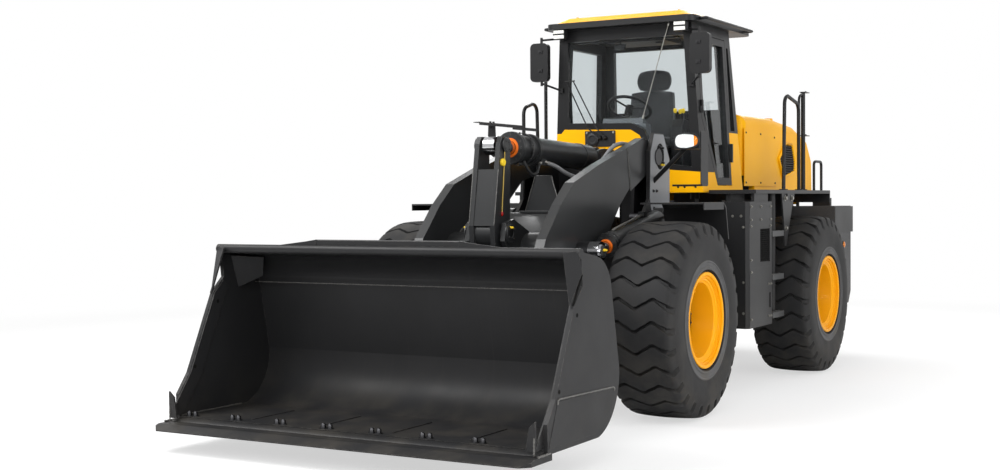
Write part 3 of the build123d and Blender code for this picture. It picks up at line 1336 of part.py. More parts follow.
def cab_solid(inset, z_low, z_high, mode=Mode.ADD):
    """Tapered block between two levels, drawn inset from the cab's outer skin."""
    faces = []
    for z in (z_low, z_high):
        with BuildSketch(Plane.XY.offset(z)) as ring:
            with BuildLine():
                Polyline(
                    (ahead(cab_front(z, inset)), cab_y(z, inset)),
                    (ahead(cab_back(z, inset)), cab_y(z, inset)),
                    (ahead(cab_back(z, inset)), -cab_y(z, inset)),
                    (ahead(cab_front(z, inset)), -cab_y(z, inset)),
                    close=True,
                )
            make_face()
        faces.append(ring.sketch.face())
    loft(faces, mode=mode)


DOOR_X = (REAR_X + 1655, REAR_X + 940)
WINDOW_TOP_Z = CAB_ROOF_Z - 160
DOOR_Z = (1885, CAB_ROOF_Z - 90)
DOOR_OUTLINE = (
    (DOOR_X[0], DOOR_Z[1]),
    (DOOR_X[0], 2520),
    (REAR_X + 1438, 2100),
    (REAR_X + 1334, DOOR_Z[0]),
    (DOOR_X[1], DOOR_Z[0]),
    (DOOR_X[1], DOOR_Z[1]),
)
DOOR_WINDOW = (
    (REAR_X + 1590, 2540),
    (REAR_X + 1590, WINDOW_TOP_Z),
    (REAR_X + 1000, WINDOW_TOP_Z),
    (REAR_X + 1000, 1960),
    (REAR_X + 1300, 1960),
    (REAR_X + 1480, 2330),
)
QUARTER_WINDOW = (
    (REAR_X + 900, 2420),
    (REAR_X + 900, WINDOW_TOP_Z),
    (REAR_X + 855, WINDOW_TOP_Z),
    (REAR_X + 785, 2420),
)
RIGHT_WINDOW = (
    (REAR_X + 1590, 2420),
    (REAR_X + 1590, WINDOW_TOP_Z),
    (REAR_X + 940, WINDOW_TOP_Z),
    (REAR_X + 880, 2420),
)
WINDSCREEN = (
    (-590, 2500),
    (-600, WINDOW_TOP_Z + 50),
    (600, WINDOW_TOP_Z + 50),
    (660, 2060),
    (330, 2100),
    (180, 2420),
    (60, 2480),
)
WINDOW_REACH = CAB_HALF - CAB_TOP_HALF + CAB_WALL + 20
BACK_WINDOW = ((-560, 2640), (-540, WINDOW_TOP_Z + 30), (540, WINDOW_TOP_Z + 30), (560, 2640))

HINGE_X = DOOR_X[0] - DOOR_GAP / 2
KNUCKLE_RADIUS = 12
KNUCKLE_LENGTH = 60
KNUCKLE_LEVELS = (2560, CAB_ROOF_Z - 270)


def door_hinge(z_low, leaf):
    """Knuckle on the hinge line and the leaf that carries it, forwards or rearwards."""
    z_high = z_low + KNUCKLE_LENGTH
    line = [(ahead(HINGE_X), cab_y(z) + KNUCKLE_RADIUS + 0.5, z) for z in (z_low, z_high)]
    rod_between(*line, KNUCKLE_RADIUS)
    skin = cab_y((z_low + z_high) / 2)
    block(sorted((HINGE_X, HINGE_X + leaf)), (skin - 4, skin + KNUCKLE_RADIUS), (z_low + 1, z_high - 1))


# Line in the front face between the body panels and the window frames, then up and over the roof
BODY_TOP_Z = 2400
FRAME_REACH = CAB_HALF + 100
BODY_LINE = (
    (-FRAME_REACH, BODY_TOP_Z),
    (-690, BODY_TOP_Z),
    (-650, 2440),
    (50, 2420),
    (140, 2365),
    (285, 2045),
    (FRAME_REACH, 2000),
    (FRAME_REACH, CAB_ROOF_Z + 10),
    (-FRAME_REACH, CAB_ROOF_Z + 10),
)
CORNER_X = REAR_X + 1400

with BuildPart() as cab_whole:
    cab_solid(0, CAB_FLOOR_Z, CAB_ROOF_Z)
    cab_solid(CAB_WALL, CAB_FLOOR_Z + CAB_WALL, CAB_ROOF_Z - CAB_WALL, mode=Mode.SUBTRACT)
    # Door opening on the left, windows on the other sides
    side_plate(DOOR_OUTLINE, CAB_HALF, 2 * WINDOW_REACH, mode=Mode.SUBTRACT)
    side_plate(QUARTER_WINDOW, CAB_HALF, 2 * WINDOW_REACH, mode=Mode.SUBTRACT)
    side_plate(RIGHT_WINDOW, -CAB_HALF, 2 * WINDOW_REACH, mode=Mode.SUBTRACT)
    cross_plate(WINDSCREEN, CAB_TOP_FRONT_X - CAB_WALL - 60, CAB_TOP_FRONT_X + 20, mode=Mode.SUBTRACT)
    cross_plate(BACK_WINDOW, CAB_BACK_X - 20, CAB_TOP_BACK_X + CAB_WALL + 20, mode=Mode.SUBTRACT)
    for z in KNUCKLE_LEVELS:
        door_hinge(z, 40)

# The body panels below and the window frames above, split on the body line
with BuildPart() as frame_zone:
    block((CAB_BACK_X - 20, CORNER_X), (-FRAME_REACH, FRAME_REACH), (BODY_TOP_Z, CAB_ROOF_Z + 10))
    cross_plate(BODY_LINE, CORNER_X, CAB_TOP_FRONT_X + 20)
with BuildPart() as cab_shell:
    add(cab_whole.part)
    add(frame_zone.part, mode=Mode.SUBTRACT)
write(cab_shell.part, "cab_shell")
with BuildPart() as cab_frame:
    add(cab_whole.part)
    add(frame_zone.part, mode=Mode.INTERSECT)
write(cab_frame.part, "cab_frame")


def pane(outline, y=None):
    """Sheet of glass in the middle of the cab's wall, cut to a window's outline."""
    inset = CAB_WALL / 2
    with BuildPart() as sheet:
        cab_solid(inset, CAB_FLOOR_Z + CAB_WALL, CAB_ROOF_Z - CAB_WALL)
        cab_solid(
            inset + GLASS_THICK, CAB_FLOOR_Z + CAB_WALL - 1, CAB_ROOF_Z - CAB_WALL + 1, mode=Mode.SUBTRACT
        )
        if y is not None:
            side_plate(outline, y, 2 * WINDOW_REACH, mode=Mode.INTERSECT)
        elif outline is WINDSCREEN:
            cross_plate(outline, CAB_TOP_FRONT_X - CAB_WALL - 60, CAB_TOP_FRONT_X + 20, mode=Mode.INTERSECT)
        else:
            cross_plate(outline, CAB_BACK_X - 20, CAB_TOP_BACK_X + CAB_WALL + 20, mode=Mode.INTERSECT)
    return sheet.part


panes = (pane(WINDSCREEN), pane(BACK_WINDOW), pane(RIGHT_WINDOW, -CAB_HALF), pane(QUARTER_WINDOW, CAB_HALF))
with BuildPart() as cab_glass:
    for sheet in panes:
        add(sheet)
write(cab_glass.part, "cab_glass")

with BuildPart() as door:
    cab_solid(0, CAB_FLOOR_Z, CAB_ROOF_Z)
    cab_solid(CAB_WALL, CAB_FLOOR_Z + CAB_WALL, CAB_ROOF_Z - CAB_WALL, mode=Mode.SUBTRACT)
    side_plate(DOOR_OUTLINE, CAB_HALF, 2 * WINDOW_REACH, mode=Mode.INTERSECT, inset=DOOR_GAP)
    side_plate(DOOR_WINDOW, CAB_HALF, 2 * WINDOW_REACH, mode=Mode.SUBTRACT)
    for z in KNUCKLE_LEVELS:
        door_hinge(z + KNUCKLE_LENGTH + 1, -40)
    # Handle near the rear edge
    block((REAR_X + 960, REAR_X + 985), (cab_y(2160) - 6, cab_y(2160) + 34), (2110, 2290))
write(door.part, "door")

door_pane = pane(DOOR_WINDOW, CAB_HALF)
with BuildPart() as door_glass:
    add(door_pane)
write(door_glass.part, "door_glass")

ROOF_TOP_Z = CAB_ROOF_Z + ROOF_THICK
with BuildPart() as cab_roof:
    with BuildSketch(Plane.XY.offset(CAB_ROOF_Z)) as sheet:
        with Locations((ahead((ROOF_FRONT_X + ROOF_BACK_X) / 2), 0)):
            RectangleRounded(ROOF_FRONT_X - ROOF_BACK_X, 2 * ROOF_HALF, 90)
    extrude(sheet.sketch, amount=ROOF_THICK)
    # Rails along both sides, on short arms from the roof
    for side in (1, -1):
        y = side * (ROOF_HALF + 75)
        bent_tube(
            (
                (ahead(REAR_X + 1760), side * (ROOF_HALF - 10), CAB_ROOF_Z + 28),
                (ahead(REAR_X + 1820), y, CAB_ROOF_Z + 28),
                (ahead(REAR_X + 520), y, CAB_ROOF_Z + 28),
                (ahead(REAR_X + 580), side * (ROOF_HALF - 10), CAB_ROOF_Z + 28),
            ),
            14,
            24,
        )
write(cab_roof.part, "cab_roof")

with BuildPart() as roof_cap:
    with BuildSketch(Plane.XY.offset(ROOF_TOP_Z)) as low:
        with Locations((ahead((ROOF_FRONT_X + ROOF_BACK_X) / 2), 0)):
            RectangleRounded(ROOF_FRONT_X - ROOF_BACK_X - 80, 2 * ROOF_HALF - 80, 90)
    with BuildSketch(Plane.XY.offset(ROOF_TOP_Z + ROOF_CAP_THICK)) as high:
        with Locations((ahead((ROOF_FRONT_X + ROOF_BACK_X) / 2), 0)):
            RectangleRounded(ROOF_FRONT_X - ROOF_BACK_X - 300, 2 * ROOF_HALF - 300, 60)
    loft([low.sketch.face(), high.sketch.face()])
write(roof_cap.part, "roof_cap")

# Mirrors on tube arms from the front pillars
MIRROR_X = REAR_X + 1915
MIRROR_Y = 790
MIRROR_DEPTH = 60
MIRROR_CORNER = 45
MIRROR_Z = (CAB_ROOF_Z - 490, CAB_ROOF_Z - 120)
MIRROR_POST_Z = (CAB_ROOF_Z - 530, CAB_ROOF_Z - 65)
# Heights of each arm's foot and of its end on the post
MIRROR_ARMS = ((CAB_ROOF_Z - 570, CAB_ROOF_Z - 505), (CAB_ROOF_Z - 70, CAB_ROOF_Z - 90))
with BuildPart() as mirrors:
    for side in (1, -1):
        head_y = sided(side, MIRROR_Y - 60, MIRROR_Y + 130)
        with BuildSketch(Plane.YZ.offset(ahead(MIRROR_X - MIRROR_DEPTH / 2))) as head:
            with Locations((sum(head_y) / 2, sum(MIRROR_Z) / 2)):
                RectangleRounded(head_y[1] - head_y[0], MIRROR_Z[1] - MIRROR_Z[0], MIRROR_CORNER)
        extrude(head.sketch, amount=MIRROR_DEPTH)
        post_y = side * (MIRROR_Y + 20)
        round_z(MIRROR_X, post_y, 13, *MIRROR_POST_Z)
        for z, arm_z in MIRROR_ARMS:
            # Foot on the pillar's front face, cut to its slope below
            foot_x = cab_front(z)
            foot_y = side * (cab_y(z) - 36)
            block((foot_x - 30, foot_x + 24), (foot_y - 24, foot_y + 24), (z - 22, z + 22))
            rod_between((ahead(foot_x + 12), foot_y, z), (ahead(MIRROR_X), post_y, arm_z), 10)
    cab_solid(0, CAB_FLOOR_Z, CAB_ROOF_Z, mode=Mode.SUBTRACT)
write(mirrors.part, "mirrors")

# Work lamps under the roof's front corners
with BuildPart() as roof_lamps:
    for side in (1, -1):
        block((REAR_X + 1850, REAR_X + 1930), sided(side, 560, 680), (CAB_ROOF_Z - 90, CAB_ROOF_Z))
write(roof_lamps.part, "roof_lamps")

# Seat: pedestal, cushion, back and headrest
SEAT_Y = -80
with BuildPart() as seat:
    block((REAR_X + 900, REAR_X + 1200), (SEAT_Y - 170, SEAT_Y + 170), (CAB_FLOOR_Z + CAB_WALL, 2240))
    block((REAR_X + 860, REAR_X + 1330), (SEAT_Y - 255, SEAT_Y + 255), (2240, 2360))
    side_plate(
        (
            (REAR_X + 980, 2340),
            (REAR_X + 940, 2830),
            (REAR_X + 840, 2830),
            (REAR_X + 850, 2340),
        ),
        SEAT_Y,
        480,
    )
    side_plate(
        (
            (REAR_X + 940, 2870),
            (REAR_X + 930, 3030),
            (REAR_X + 850, 3030),
            (REAR_X + 850, 2870),
        ),
        SEAT_Y,
        270,
    )
    for side in (1, -1):
        round_z(REAR_X + 890, SEAT_Y + side * 60, 9, 2820, 2880)
write(seat.part, "seat")

# Dash behind the windscreen with its column, and the steering wheel
WHEEL_CENTRE = (REAR_X + 1480, 2640)
WHEEL_RADIUS = 205
WHEEL_LEAN = 30
DASH_HOOD = (
    (REAR_X + 1520, 2260),
    (REAR_X + 1450, 2300),
    (REAR_X + 1500, 2480),
    (REAR_X + 1630, 2540),
    (REAR_X + 1645, 2480),
)
DASH_WIDTH = 420
with BuildPart() as dash:
    block((REAR_X + 1520, REAR_X + 1645), (-300, 160), (CAB_FLOOR_Z + CAB_WALL, 2480))
    side_plate(DASH_HOOD, SEAT_Y, DASH_WIDTH)
write(dash.part, "dash")

lean = math.radians(WHEEL_LEAN)
wheel_normal = Vector(-math.sin(lean), 0, math.cos(lean))
wheel_hub = Vector(ahead(WHEEL_CENTRE[0]), SEAT_Y, WHEEL_CENTRE[1])
with BuildPart() as steering_wheel:
    with Locations(Plane(origin=wheel_hub, z_dir=wheel_normal).location):
        Torus(WHEEL_RADIUS, 15)
    for turn in (0, 120, 240):
        angle = math.radians(turn)
        spoke = Vector(0, math.cos(angle), 0) + Vector(0, 1, 0).cross(wheel_normal) * math.sin(angle)
        rod_between(wheel_hub + spoke * 25, wheel_hub + spoke * (WHEEL_RADIUS - 4), 9)
    rod_between(wheel_hub + wheel_normal * 20, wheel_hub - wheel_normal * 60, 40)
    rod_between(wheel_hub - wheel_normal * 60, wheel_hub - wheel_normal * 200, 24)
    side_plate(DASH_HOOD, SEAT_Y, DASH_WIDTH, mode=Mode.SUBTRACT)
write(steering_wheel.part, "steering_wheel")

# ---------------------------------------------------------------- hood
HOOD_SIDE = (
    (HOOD_FRONT_X, 1990), (HOOD_FRONT_X, HOOD_TOP_Z), (REAR_X - 420, HOOD_TOP_Z), (REAR_X - 1090, 2550),
    (REAR_X - 1570, 2420),
    (REAR_X - 1680, 2290),
    (REAR_X - 1705, 1745),
    (REAR_X + 230, 1745),
    (REAR_X + 270, 1990),
)
VENT = (
    (REAR_X - 100, 1900),
    (REAR_X - 180, 2040),
    (REAR_X - 180, 2200),
    (REAR_X - 90, 2310),
    (REAR_X + 80, 2310),
    (REAR_X + 160, 2120),
    (REAR_X + 50, 1900),
)
HOOD_FILLET = 90
with BuildPart() as hood:
    side_plate(HOOD_SIDE, 0, 2 * HOOD_HALF)
    top_edges = hood.edges().filter_by(Plane.XZ).filter_by_position(Axis.Z, 2295, HOOD_TOP_Z + 1)
    fillet(top_edges, HOOD_FILLET)
    # Inside, open at the bottom
    inner = (
        (HOOD_FRONT_X - HOOD_WALL, 1744), (HOOD_FRONT_X - HOOD_WALL, HOOD_TOP_Z - HOOD_WALL),
        (
            REAR_X - 420,
            HOOD_TOP_Z - HOOD_WALL), (REAR_X - 1085,
            2550 - HOOD_WALL), (REAR_X - 1555,
            2395), (REAR_X - 1655,
            2280), (REAR_X - 1678,
            1744,
        ),
    )
    side_plate(inner, 0, 2 * (HOOD_HALF - 60), mode=Mode.SUBTRACT)
    # Vents in the sides and the grille opening at the back
    for side in (1, -1):
        side_plate(VENT, side * HOOD_HALF, 130, mode=Mode.SUBTRACT)
    block((REAR_X - 1720, REAR_X - 1640), (-520, 520), (1850, 2230), mode=Mode.SUBTRACT)
    # Hinge arms under the rear wall
    for side in (1, -1):
        y_low, y_high = side * HOOD_HINGE_Y - 19, side * HOOD_HINGE_Y + 19
        round_y(HOOD_HINGE, HOOD_KNUCKLE_RADIUS, y_low, y_high)
        block((HOOD_HINGE[0] - 16, HOOD_HINGE[0]), (y_low, y_high), (HOOD_HINGE[1], 1750))
        round_y(HOOD_HINGE, HOOD_PIN_RADIUS + PIN_GAP, y_low - 1, y_high + 1, mode=Mode.SUBTRACT)
write(hood.part, "hood")

with BuildPart() as hood_grilles:
    for side in (1, -1):
        side_plate(VENT, side * (HOOD_HALF - 30), 12)
    for row in range(9):
        block((REAR_X - 1682, REAR_X - 1668), (-520, 520), (1868 + row * 40, 1868 + row * 40 + 18))
    for y in (-350, 0, 350):
        block((REAR_X - 1668, REAR_X - 1656), (y - 10, y + 10), (1850, 2230))
write(hood_grilles.part, "hood_grilles")

with BuildPart() as radiator:
    block((REAR_X - 1385, REAR_X - 1265), (-620, 620), (1240, 2350))
write(radiator.part, "radiator")

with BuildPart() as transmission:
    block((REAR_X + 430, REAR_X + 1030), (-RAIL_Y + RAIL_PLATE / 2, RAIL_Y - RAIL_PLATE / 2), (640, 1300))
write(transmission.part, "transmission")

# ---------------------------------------------------------------- counterweight
WEIGHT_BACK_X = -REAR_REACH
with BuildPart() as counterweight:
    side_plate(
        (
            (WEIGHT_FRONT_X, WEIGHT_LOW_Z),
            (WEIGHT_FRONT_X, WEIGHT_TOP_Z),
            (WEIGHT_BACK_X, WEIGHT_TOP_Z),
            (WEIGHT_BACK_X, WEIGHT_LOW_Z + WEIGHT_CHAMFER),
            (WEIGHT_BACK_X + WEIGHT_CHAMFER * 0.7, WEIGHT_LOW_Z),
        ),
        0,
        2 * WEIGHT_HALF,
    )
    for side in (1, -1):
        flat_plate(
            (
                (WEIGHT_BACK_X - 1, side * (WEIGHT_HALF + 1)),
                (WEIGHT_BACK_X + 90, side * (WEIGHT_HALF + 1)),
                (WEIGHT_BACK_X - 1, side * (WEIGHT_HALF - 90)),
            ),
            WEIGHT_LOW_Z - 1,
            WEIGHT_TOP_Z + 1,
            mode=Mode.SUBTRACT,
        )
    # Ears and pins of the hood's hinges
    for side in (1, -1):
        for y in (side * HOOD_HINGE_Y - 35, side * HOOD_HINGE_Y + 35):
            block(
                (HOOD_HINGE[0] - 14, HOOD_HINGE[0] + 14),
                (y - 15, y + 15),
                (WEIGHT_TOP_Z - 1, HOOD_HINGE[1] + 12),
            )
        round_y(HOOD_HINGE, HOOD_PIN_RADIUS, side * HOOD_HINGE_Y - 35, side * HOOD_HINGE_Y + 35)
    # Towing slot with its pin hole
    block(
        (WEIGHT_BACK_X - 1, WEIGHT_BACK_X + TOW_SLOT_DEPTH),
        (-TOW_SLOT_WIDTH / 2, TOW_SLOT_WIDTH / 2),
        (TOW_SLOT_Z + 60, TOW_SLOT_Z + 60 + TOW_SLOT_HEIGHT),
        mode=Mode.SUBTRACT,
    )
    round_z(
        WEIGHT_BACK_X + 90,
        0,
        TOW_HOLE_RADIUS,
        WEIGHT_LOW_Z - 1,
        TOW_SLOT_Z + 60 + TOW_SLOT_HEIGHT + 80,
        mode=Mode.SUBTRACT,
    )
write(counterweight.part, "counterweight")

with BuildPart() as tail_lamps:
    for side in (1, -1):
        block((REAR_X - 1720, REAR_X - 1640), sided(side, 780, 980), (WEIGHT_TOP_Z, WEIGHT_TOP_Z + 90))
write(tail_lamps.part, "tail_lamps")
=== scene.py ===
"""Looks of the wheel loader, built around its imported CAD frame. Metres, +X forward, +Z up."""

import json
import math
import random

import bmesh
import bpy
from mathutils import Matrix, Vector

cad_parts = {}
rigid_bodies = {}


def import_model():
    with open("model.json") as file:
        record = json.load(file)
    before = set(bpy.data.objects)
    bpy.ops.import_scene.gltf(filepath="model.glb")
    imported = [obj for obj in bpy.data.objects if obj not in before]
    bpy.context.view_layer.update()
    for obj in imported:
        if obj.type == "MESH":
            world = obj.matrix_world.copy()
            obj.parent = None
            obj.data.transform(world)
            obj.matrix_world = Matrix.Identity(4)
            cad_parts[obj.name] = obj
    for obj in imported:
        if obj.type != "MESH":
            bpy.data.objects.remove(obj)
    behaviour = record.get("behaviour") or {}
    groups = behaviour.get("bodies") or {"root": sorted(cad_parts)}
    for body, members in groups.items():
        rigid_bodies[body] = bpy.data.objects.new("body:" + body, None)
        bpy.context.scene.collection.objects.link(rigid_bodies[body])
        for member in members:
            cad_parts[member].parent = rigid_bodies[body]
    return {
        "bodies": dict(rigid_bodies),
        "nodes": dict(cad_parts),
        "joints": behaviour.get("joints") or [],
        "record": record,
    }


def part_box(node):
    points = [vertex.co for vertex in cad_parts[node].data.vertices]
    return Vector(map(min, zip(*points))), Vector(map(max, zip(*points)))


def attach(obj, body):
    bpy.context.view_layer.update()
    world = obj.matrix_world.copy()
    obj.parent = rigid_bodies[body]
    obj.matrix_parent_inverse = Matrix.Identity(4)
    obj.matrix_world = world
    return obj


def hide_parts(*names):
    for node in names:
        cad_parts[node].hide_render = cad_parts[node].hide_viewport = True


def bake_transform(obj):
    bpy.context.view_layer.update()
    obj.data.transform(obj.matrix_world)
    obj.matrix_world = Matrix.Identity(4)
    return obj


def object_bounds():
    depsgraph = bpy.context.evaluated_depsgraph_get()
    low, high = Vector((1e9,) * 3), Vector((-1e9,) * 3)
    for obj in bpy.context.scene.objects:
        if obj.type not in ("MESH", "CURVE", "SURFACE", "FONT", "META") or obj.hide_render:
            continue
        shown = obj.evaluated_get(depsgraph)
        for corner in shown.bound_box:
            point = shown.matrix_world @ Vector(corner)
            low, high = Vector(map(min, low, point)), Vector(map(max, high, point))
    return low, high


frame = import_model()
CAD_BOX = [list(corner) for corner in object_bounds()]
NODES = frame["nodes"]
SIDES = (("left", 1), ("right", -1))

# Centre of the front axle: side-view places below are given from it
AXLE_LOW, AXLE_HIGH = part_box("axle_front")
AXLE_X = (AXLE_LOW.x + AXLE_HIGH.x) / 2


def at(x, y, z):
    """Row point of a place given from the front axle."""
    return Vector((AXLE_X + x, y, z))


def srgb(red, green, blue):
    """Linear colour of an sRGB one given in 0 to 255."""
    linear = []
    for channel in (red, green, blue):
        c = channel / 255
        linear.append(c / 12.92 if c <= 0.04045 else ((c + 0.055) / 1.055) ** 2.4)
    return (*linear, 1.0)


def grey(level):
    return (level, level, level, 1.0)


# ---------------------------------------------------------------- node groups
class Graph:
    """Short hand for a node tree: makes nodes, sets their plain values and links them."""

    def __init__(self, tree):
        self.tree = tree

    def node(self, kind, settings=None, **inputs):
        made = self.tree.nodes.new("ShaderNode" + kind)
        for key, value in (settings or {}).items():
            setattr(made, key, value)
        for key, value in inputs.items():
            self.put(made, key.replace("_", " "), value)
        return made

    def put(self, node, name, value):
        sockets = [s for s in node.inputs if s.name == name and s.enabled] or [node.inputs[int(name)]]
        socket = sockets[0]
        if isinstance(value, bpy.types.NodeSocket):
            self.tree.links.new(value, socket)
        else:
            socket.default_value = value

    def math(self, operation, first, second=0.0, clamp=False):
        made = self.tree.nodes.new("ShaderNodeMath")
        made.operation, made.use_clamp = operation, clamp
        for index, value in enumerate((first, second)):
            if isinstance(value, bpy.types.NodeSocket):
                self.tree.links.new(value, made.inputs[index])
            else:
                made.inputs[index].default_value = value
        return made.outputs[0]

    def ramp(self, value, low, high, start=0.0, end=1.0):
        """Smooth step of a value between two limits."""
        made = self.node("MapRange", {"interpolation_type": "SMOOTHSTEP"})
        for index, number in enumerate((value, low, high, start, end)):
            if isinstance(number, bpy.types.NodeSocket):
                self.tree.links.new(number, made.inputs[index])
            else:
                made.inputs[index].default_value = number
        return made.outputs[0]

    def blend(self, factor, first, second):
        """Colour between two, by a factor."""
        made = self.node("Mix", {"data_type": "RGBA"})
        for index, value in ((0, factor), (6, first), (7, second)):
            if isinstance(value, bpy.types.NodeSocket):
                self.tree.links.new(value, made.inputs[index])
            else:
                made.inputs[index].default_value = value
        return made.outputs[2]

    def noise(self, scale, detail=3.0, roughness=0.55, stretch=None):
        """Noise in the piece's own space, stretched along chosen axes."""
        place = self.node("TexCoord").outputs["Object"]
        if stretch:
            place = self.node("Mapping", Vector=place, Scale=stretch).outputs[0]
        return self.node("TexNoise", Vector=place, Scale=scale, Detail=detail, Roughness=roughness).outputs[0]


def shader_group(name, inputs, outputs):
    """Empty node group with named inputs (name, default) and outputs (name, kind)."""
    tree = bpy.data.node_groups.new(name, "ShaderNodeTree")
    for label, default in inputs:
        kind = "NodeSocketColor" if isinstance(default, tuple) else "NodeSocketFloat"
        tree.interface.new_socket(label, in_out="INPUT", socket_type=kind).default_value = default
    for label, kind in outputs:
        tree.interface.new_socket(label, in_out="OUTPUT", socket_type="NodeSocket" + kind)
    start = tree.nodes.new("NodeGroupInput")
    end = tree.nodes.new("NodeGroupOutput")
    return Graph(tree), start.outputs, end


def group_edges():
    """Mask of the corners where paint thins."""
    g, given, end = shader_group(
        "worn_edges", [("Width", 0.004), ("Amount", 0.5), ("Breakup", 30.0)], [("Mask", "Float")]
    )
    rounded = g.node("Bevel", {"samples": 4}, Radius=given["Width"]).outputs[0]
    flat = g.node("NewGeometry").outputs["Normal"]
    dot = g.node("VectorMath", {"operation": "DOT_PRODUCT"}, **{"0": rounded})
    g.tree.links.new(flat, dot.inputs[1])
    edge = g.ramp(dot.outputs["Value"], 0.995, 0.9)
    chips = g.noise(given["Breakup"], 4.0)
    mask = g.math("MULTIPLY", edge, g.ramp(chips, 0.42, 0.62))
    g.tree.links.new(g.math("MULTIPLY", mask, given["Amount"], True), end.inputs[0])
    return g.tree


def group_dust():
    """Mask of dust: thicker near the ground and on faces that look up, in cloudy patches."""
    g, given, end = shader_group(
        "settled_dust", [("Amount", 0.3), ("Reach", 1.2), ("Scale", 3.0)], [("Mask", "Float")]
    )
    geometry = g.node("NewGeometry")
    up = g.node("SeparateXYZ", Vector=geometry.outputs["Normal"]).outputs["Z"]
    height = g.node("SeparateXYZ", Vector=g.node("TexCoord").outputs["Object"]).outputs["Z"]
    low = g.ramp(g.math("DIVIDE", height, given["Reach"]), 1.0, 0.0)
    clouds = g.ramp(g.noise(given["Scale"], 5.0, 0.6), 0.35, 0.75)
    lying = g.ramp(up, 0.2, 1.0)
    both = g.math("ADD", g.math("MULTIPLY", low, 0.6), g.math("MULTIPLY", lying, 0.5))
    mask = g.math("MULTIPLY", g.math("MULTIPLY", both, clouds), given["Amount"], True)
    g.tree.links.new(mask, end.inputs[0])
    return g.tree


def group_grain():
    """Fine unevenness: a height for the bump and a small swing of the roughness about its middle."""
    g, given, end = shader_group(
        "fine_grain", [("Scale", 60.0), ("Roughness", 0.4), ("Swing", 0.08)],
        [("Height", "Float"), ("Roughness", "Float")]
    )
    fine = g.noise(given["Scale"], 4.0, 0.6)
    wide = g.noise(2.6, 3.0)
    shift = g.math("MULTIPLY", g.math("SUBTRACT", wide, 0.5), g.math("MULTIPLY", given["Swing"], 2.0))
    g.tree.links.new(fine, end.inputs[0])
    g.tree.links.new(g.math("ADD", given["Roughness"], shift, True), end.inputs[1])
    return g.tree


def group_streaks():
    """Long upright scratches and rub marks."""
    g, given, end = shader_group(
        "upright_streaks", [("Amount", 0.4), ("Across", 40.0), ("Along", 1.2)], [("Mask", "Float")]
    )
    place = g.node("TexCoord").outputs["Object"]
    stretch = g.node("CombineXYZ", X=given["Along"], Y=given["Across"], Z=given["Along"]).outputs[0]
    marks = g.node("Mapping", Vector=place).outputs[0]
    marks = g.node("VectorMath", {"operation": "MULTIPLY"}, **{"0": marks})
    g.tree.links.new(stretch, marks.inputs[1])
    lines = g.node("TexNoise", Vector=marks.outputs[0], Scale=1.0, Detail=6.0, Roughness=0.65).outputs[0]
    patches = g.ramp(g.noise(1.1, 2.0), 0.4, 0.7)
    mask = g.math("MULTIPLY", g.ramp(lines, 0.52, 0.75), patches)
    g.tree.links.new(g.math("MULTIPLY", mask, given["Amount"], True), end.inputs[0])
    return g.tree


def group_weave():
    """Woven threads in two directions, as a height and a light-dark value."""
    g, given, end = shader_group(
        "woven_threads", [("Scale", 400.0)], [("Height", "Float")]
    )
    place = g.node("TexCoord").outputs["Object"]
    waves = []
    for direction in ("X", "Z"):
        waves.append(
            g.node(
                "TexWave", {"bands_direction": direction},
                Vector=place, Scale=given["Scale"], Distortion=0.4
            ).outputs[1]
        )
    g.tree.links.new(g.math("MAXIMUM", *waves), end.inputs[0])
    return g.tree


GROUPS = {
    "edges": group_edges(),
    "dust": group_dust(),
    "grain": group_grain(),
    "streaks": group_streaks(),
    "weave": group_weave(),
}


# ---------------------------------------------------------------- finishes
class Finish(Graph):
    """A material with its shader, and the groups placed into it."""

    def __init__(self, name, base, roughness=0.5, metallic=0.0, **plain):
        self.material = bpy.data.materials.new(name)
        self.material.use_nodes = True
        super().__init__(self.material.node_tree)
        self.shader = next(n for n in self.tree.nodes if n.type == "BSDF_PRINCIPLED")
        self.base = base
        self.put(self.shader, "Base Color", base)
        self.put(self.shader, "Roughness", roughness)
        self.put(self.shader, "Metallic", metallic)
        for key, value in plain.items():
            self.put(self.shader, key.replace("_", " "), value)

    def use(self, group, output=0, **inputs):
        made = self.tree.nodes.new("ShaderNodeGroup")
        made.node_tree = GROUPS[group]
        for key, value in inputs.items():
            self.put(made, key, value)
        return made.outputs[output]

    def cover(self, mask, colour):
        """Lays a colour over what is there, where the mask says."""
        self.base = self.blend(mask, self.base, colour)
        self.put(self.shader, "Base Color", self.base)
        return self

    def grain(self, scale, roughness, swing=0.08, strength=0.1, distance=0.001):
        made = self.tree.nodes.new("ShaderNodeGroup")
        made.node_tree = GROUPS["grain"]
        for key, value in (("Scale", scale), ("Roughness", roughness), ("Swing", swing)):
            self.put(made, key, value)
        bump = self.node("Bump", Strength=strength, Distance=distance, Height=made.outputs[0])
        self.put(self.shader, "Normal", bump.outputs[0])
        self.put(self.shader, "Roughness", made.outputs[1])
        return self

    def shade(self, darker, scale=1.4, amount=0.25):
        """Slow light and dark drift of the colour."""
        self.cover(self.math("MULTIPLY", self.ramp(self.noise(scale, 4.0), 0.3, 0.75), amount), darker)
        return self


DUST = srgb(150, 140, 122)
BARE = srgb(120, 118, 114)


def painted(name, colour, darker, roughness, dust=0.25, wear=0.5, reach=1.2, coat=0.0, shine=0.5):
    finish = Finish(name, colour, roughness, Coat_Weight=coat, Coat_Roughness=0.12)
    finish.put(finish.shader, "Specular IOR Level", shine)
    finish.shade(darker)
    finish.grain(90.0, roughness, 0.07, 0.08, 0.0006)
    finish.cover(finish.use("edges", Amount=wear), BARE)
    finish.cover(finish.use("dust", Amount=dust, Reach=reach), DUST)
    return finish.material


def plain_metal(name, colour, roughness, scale=120.0):
    finish = Finish(name, colour, roughness, 1.0)
    finish.shade(tuple(c * 0.6 for c in colour[:3]) + (1.0,), 9.0, 0.3)
    finish.grain(scale, roughness, 0.1, 0.15, 0.0004)
    return finish.material


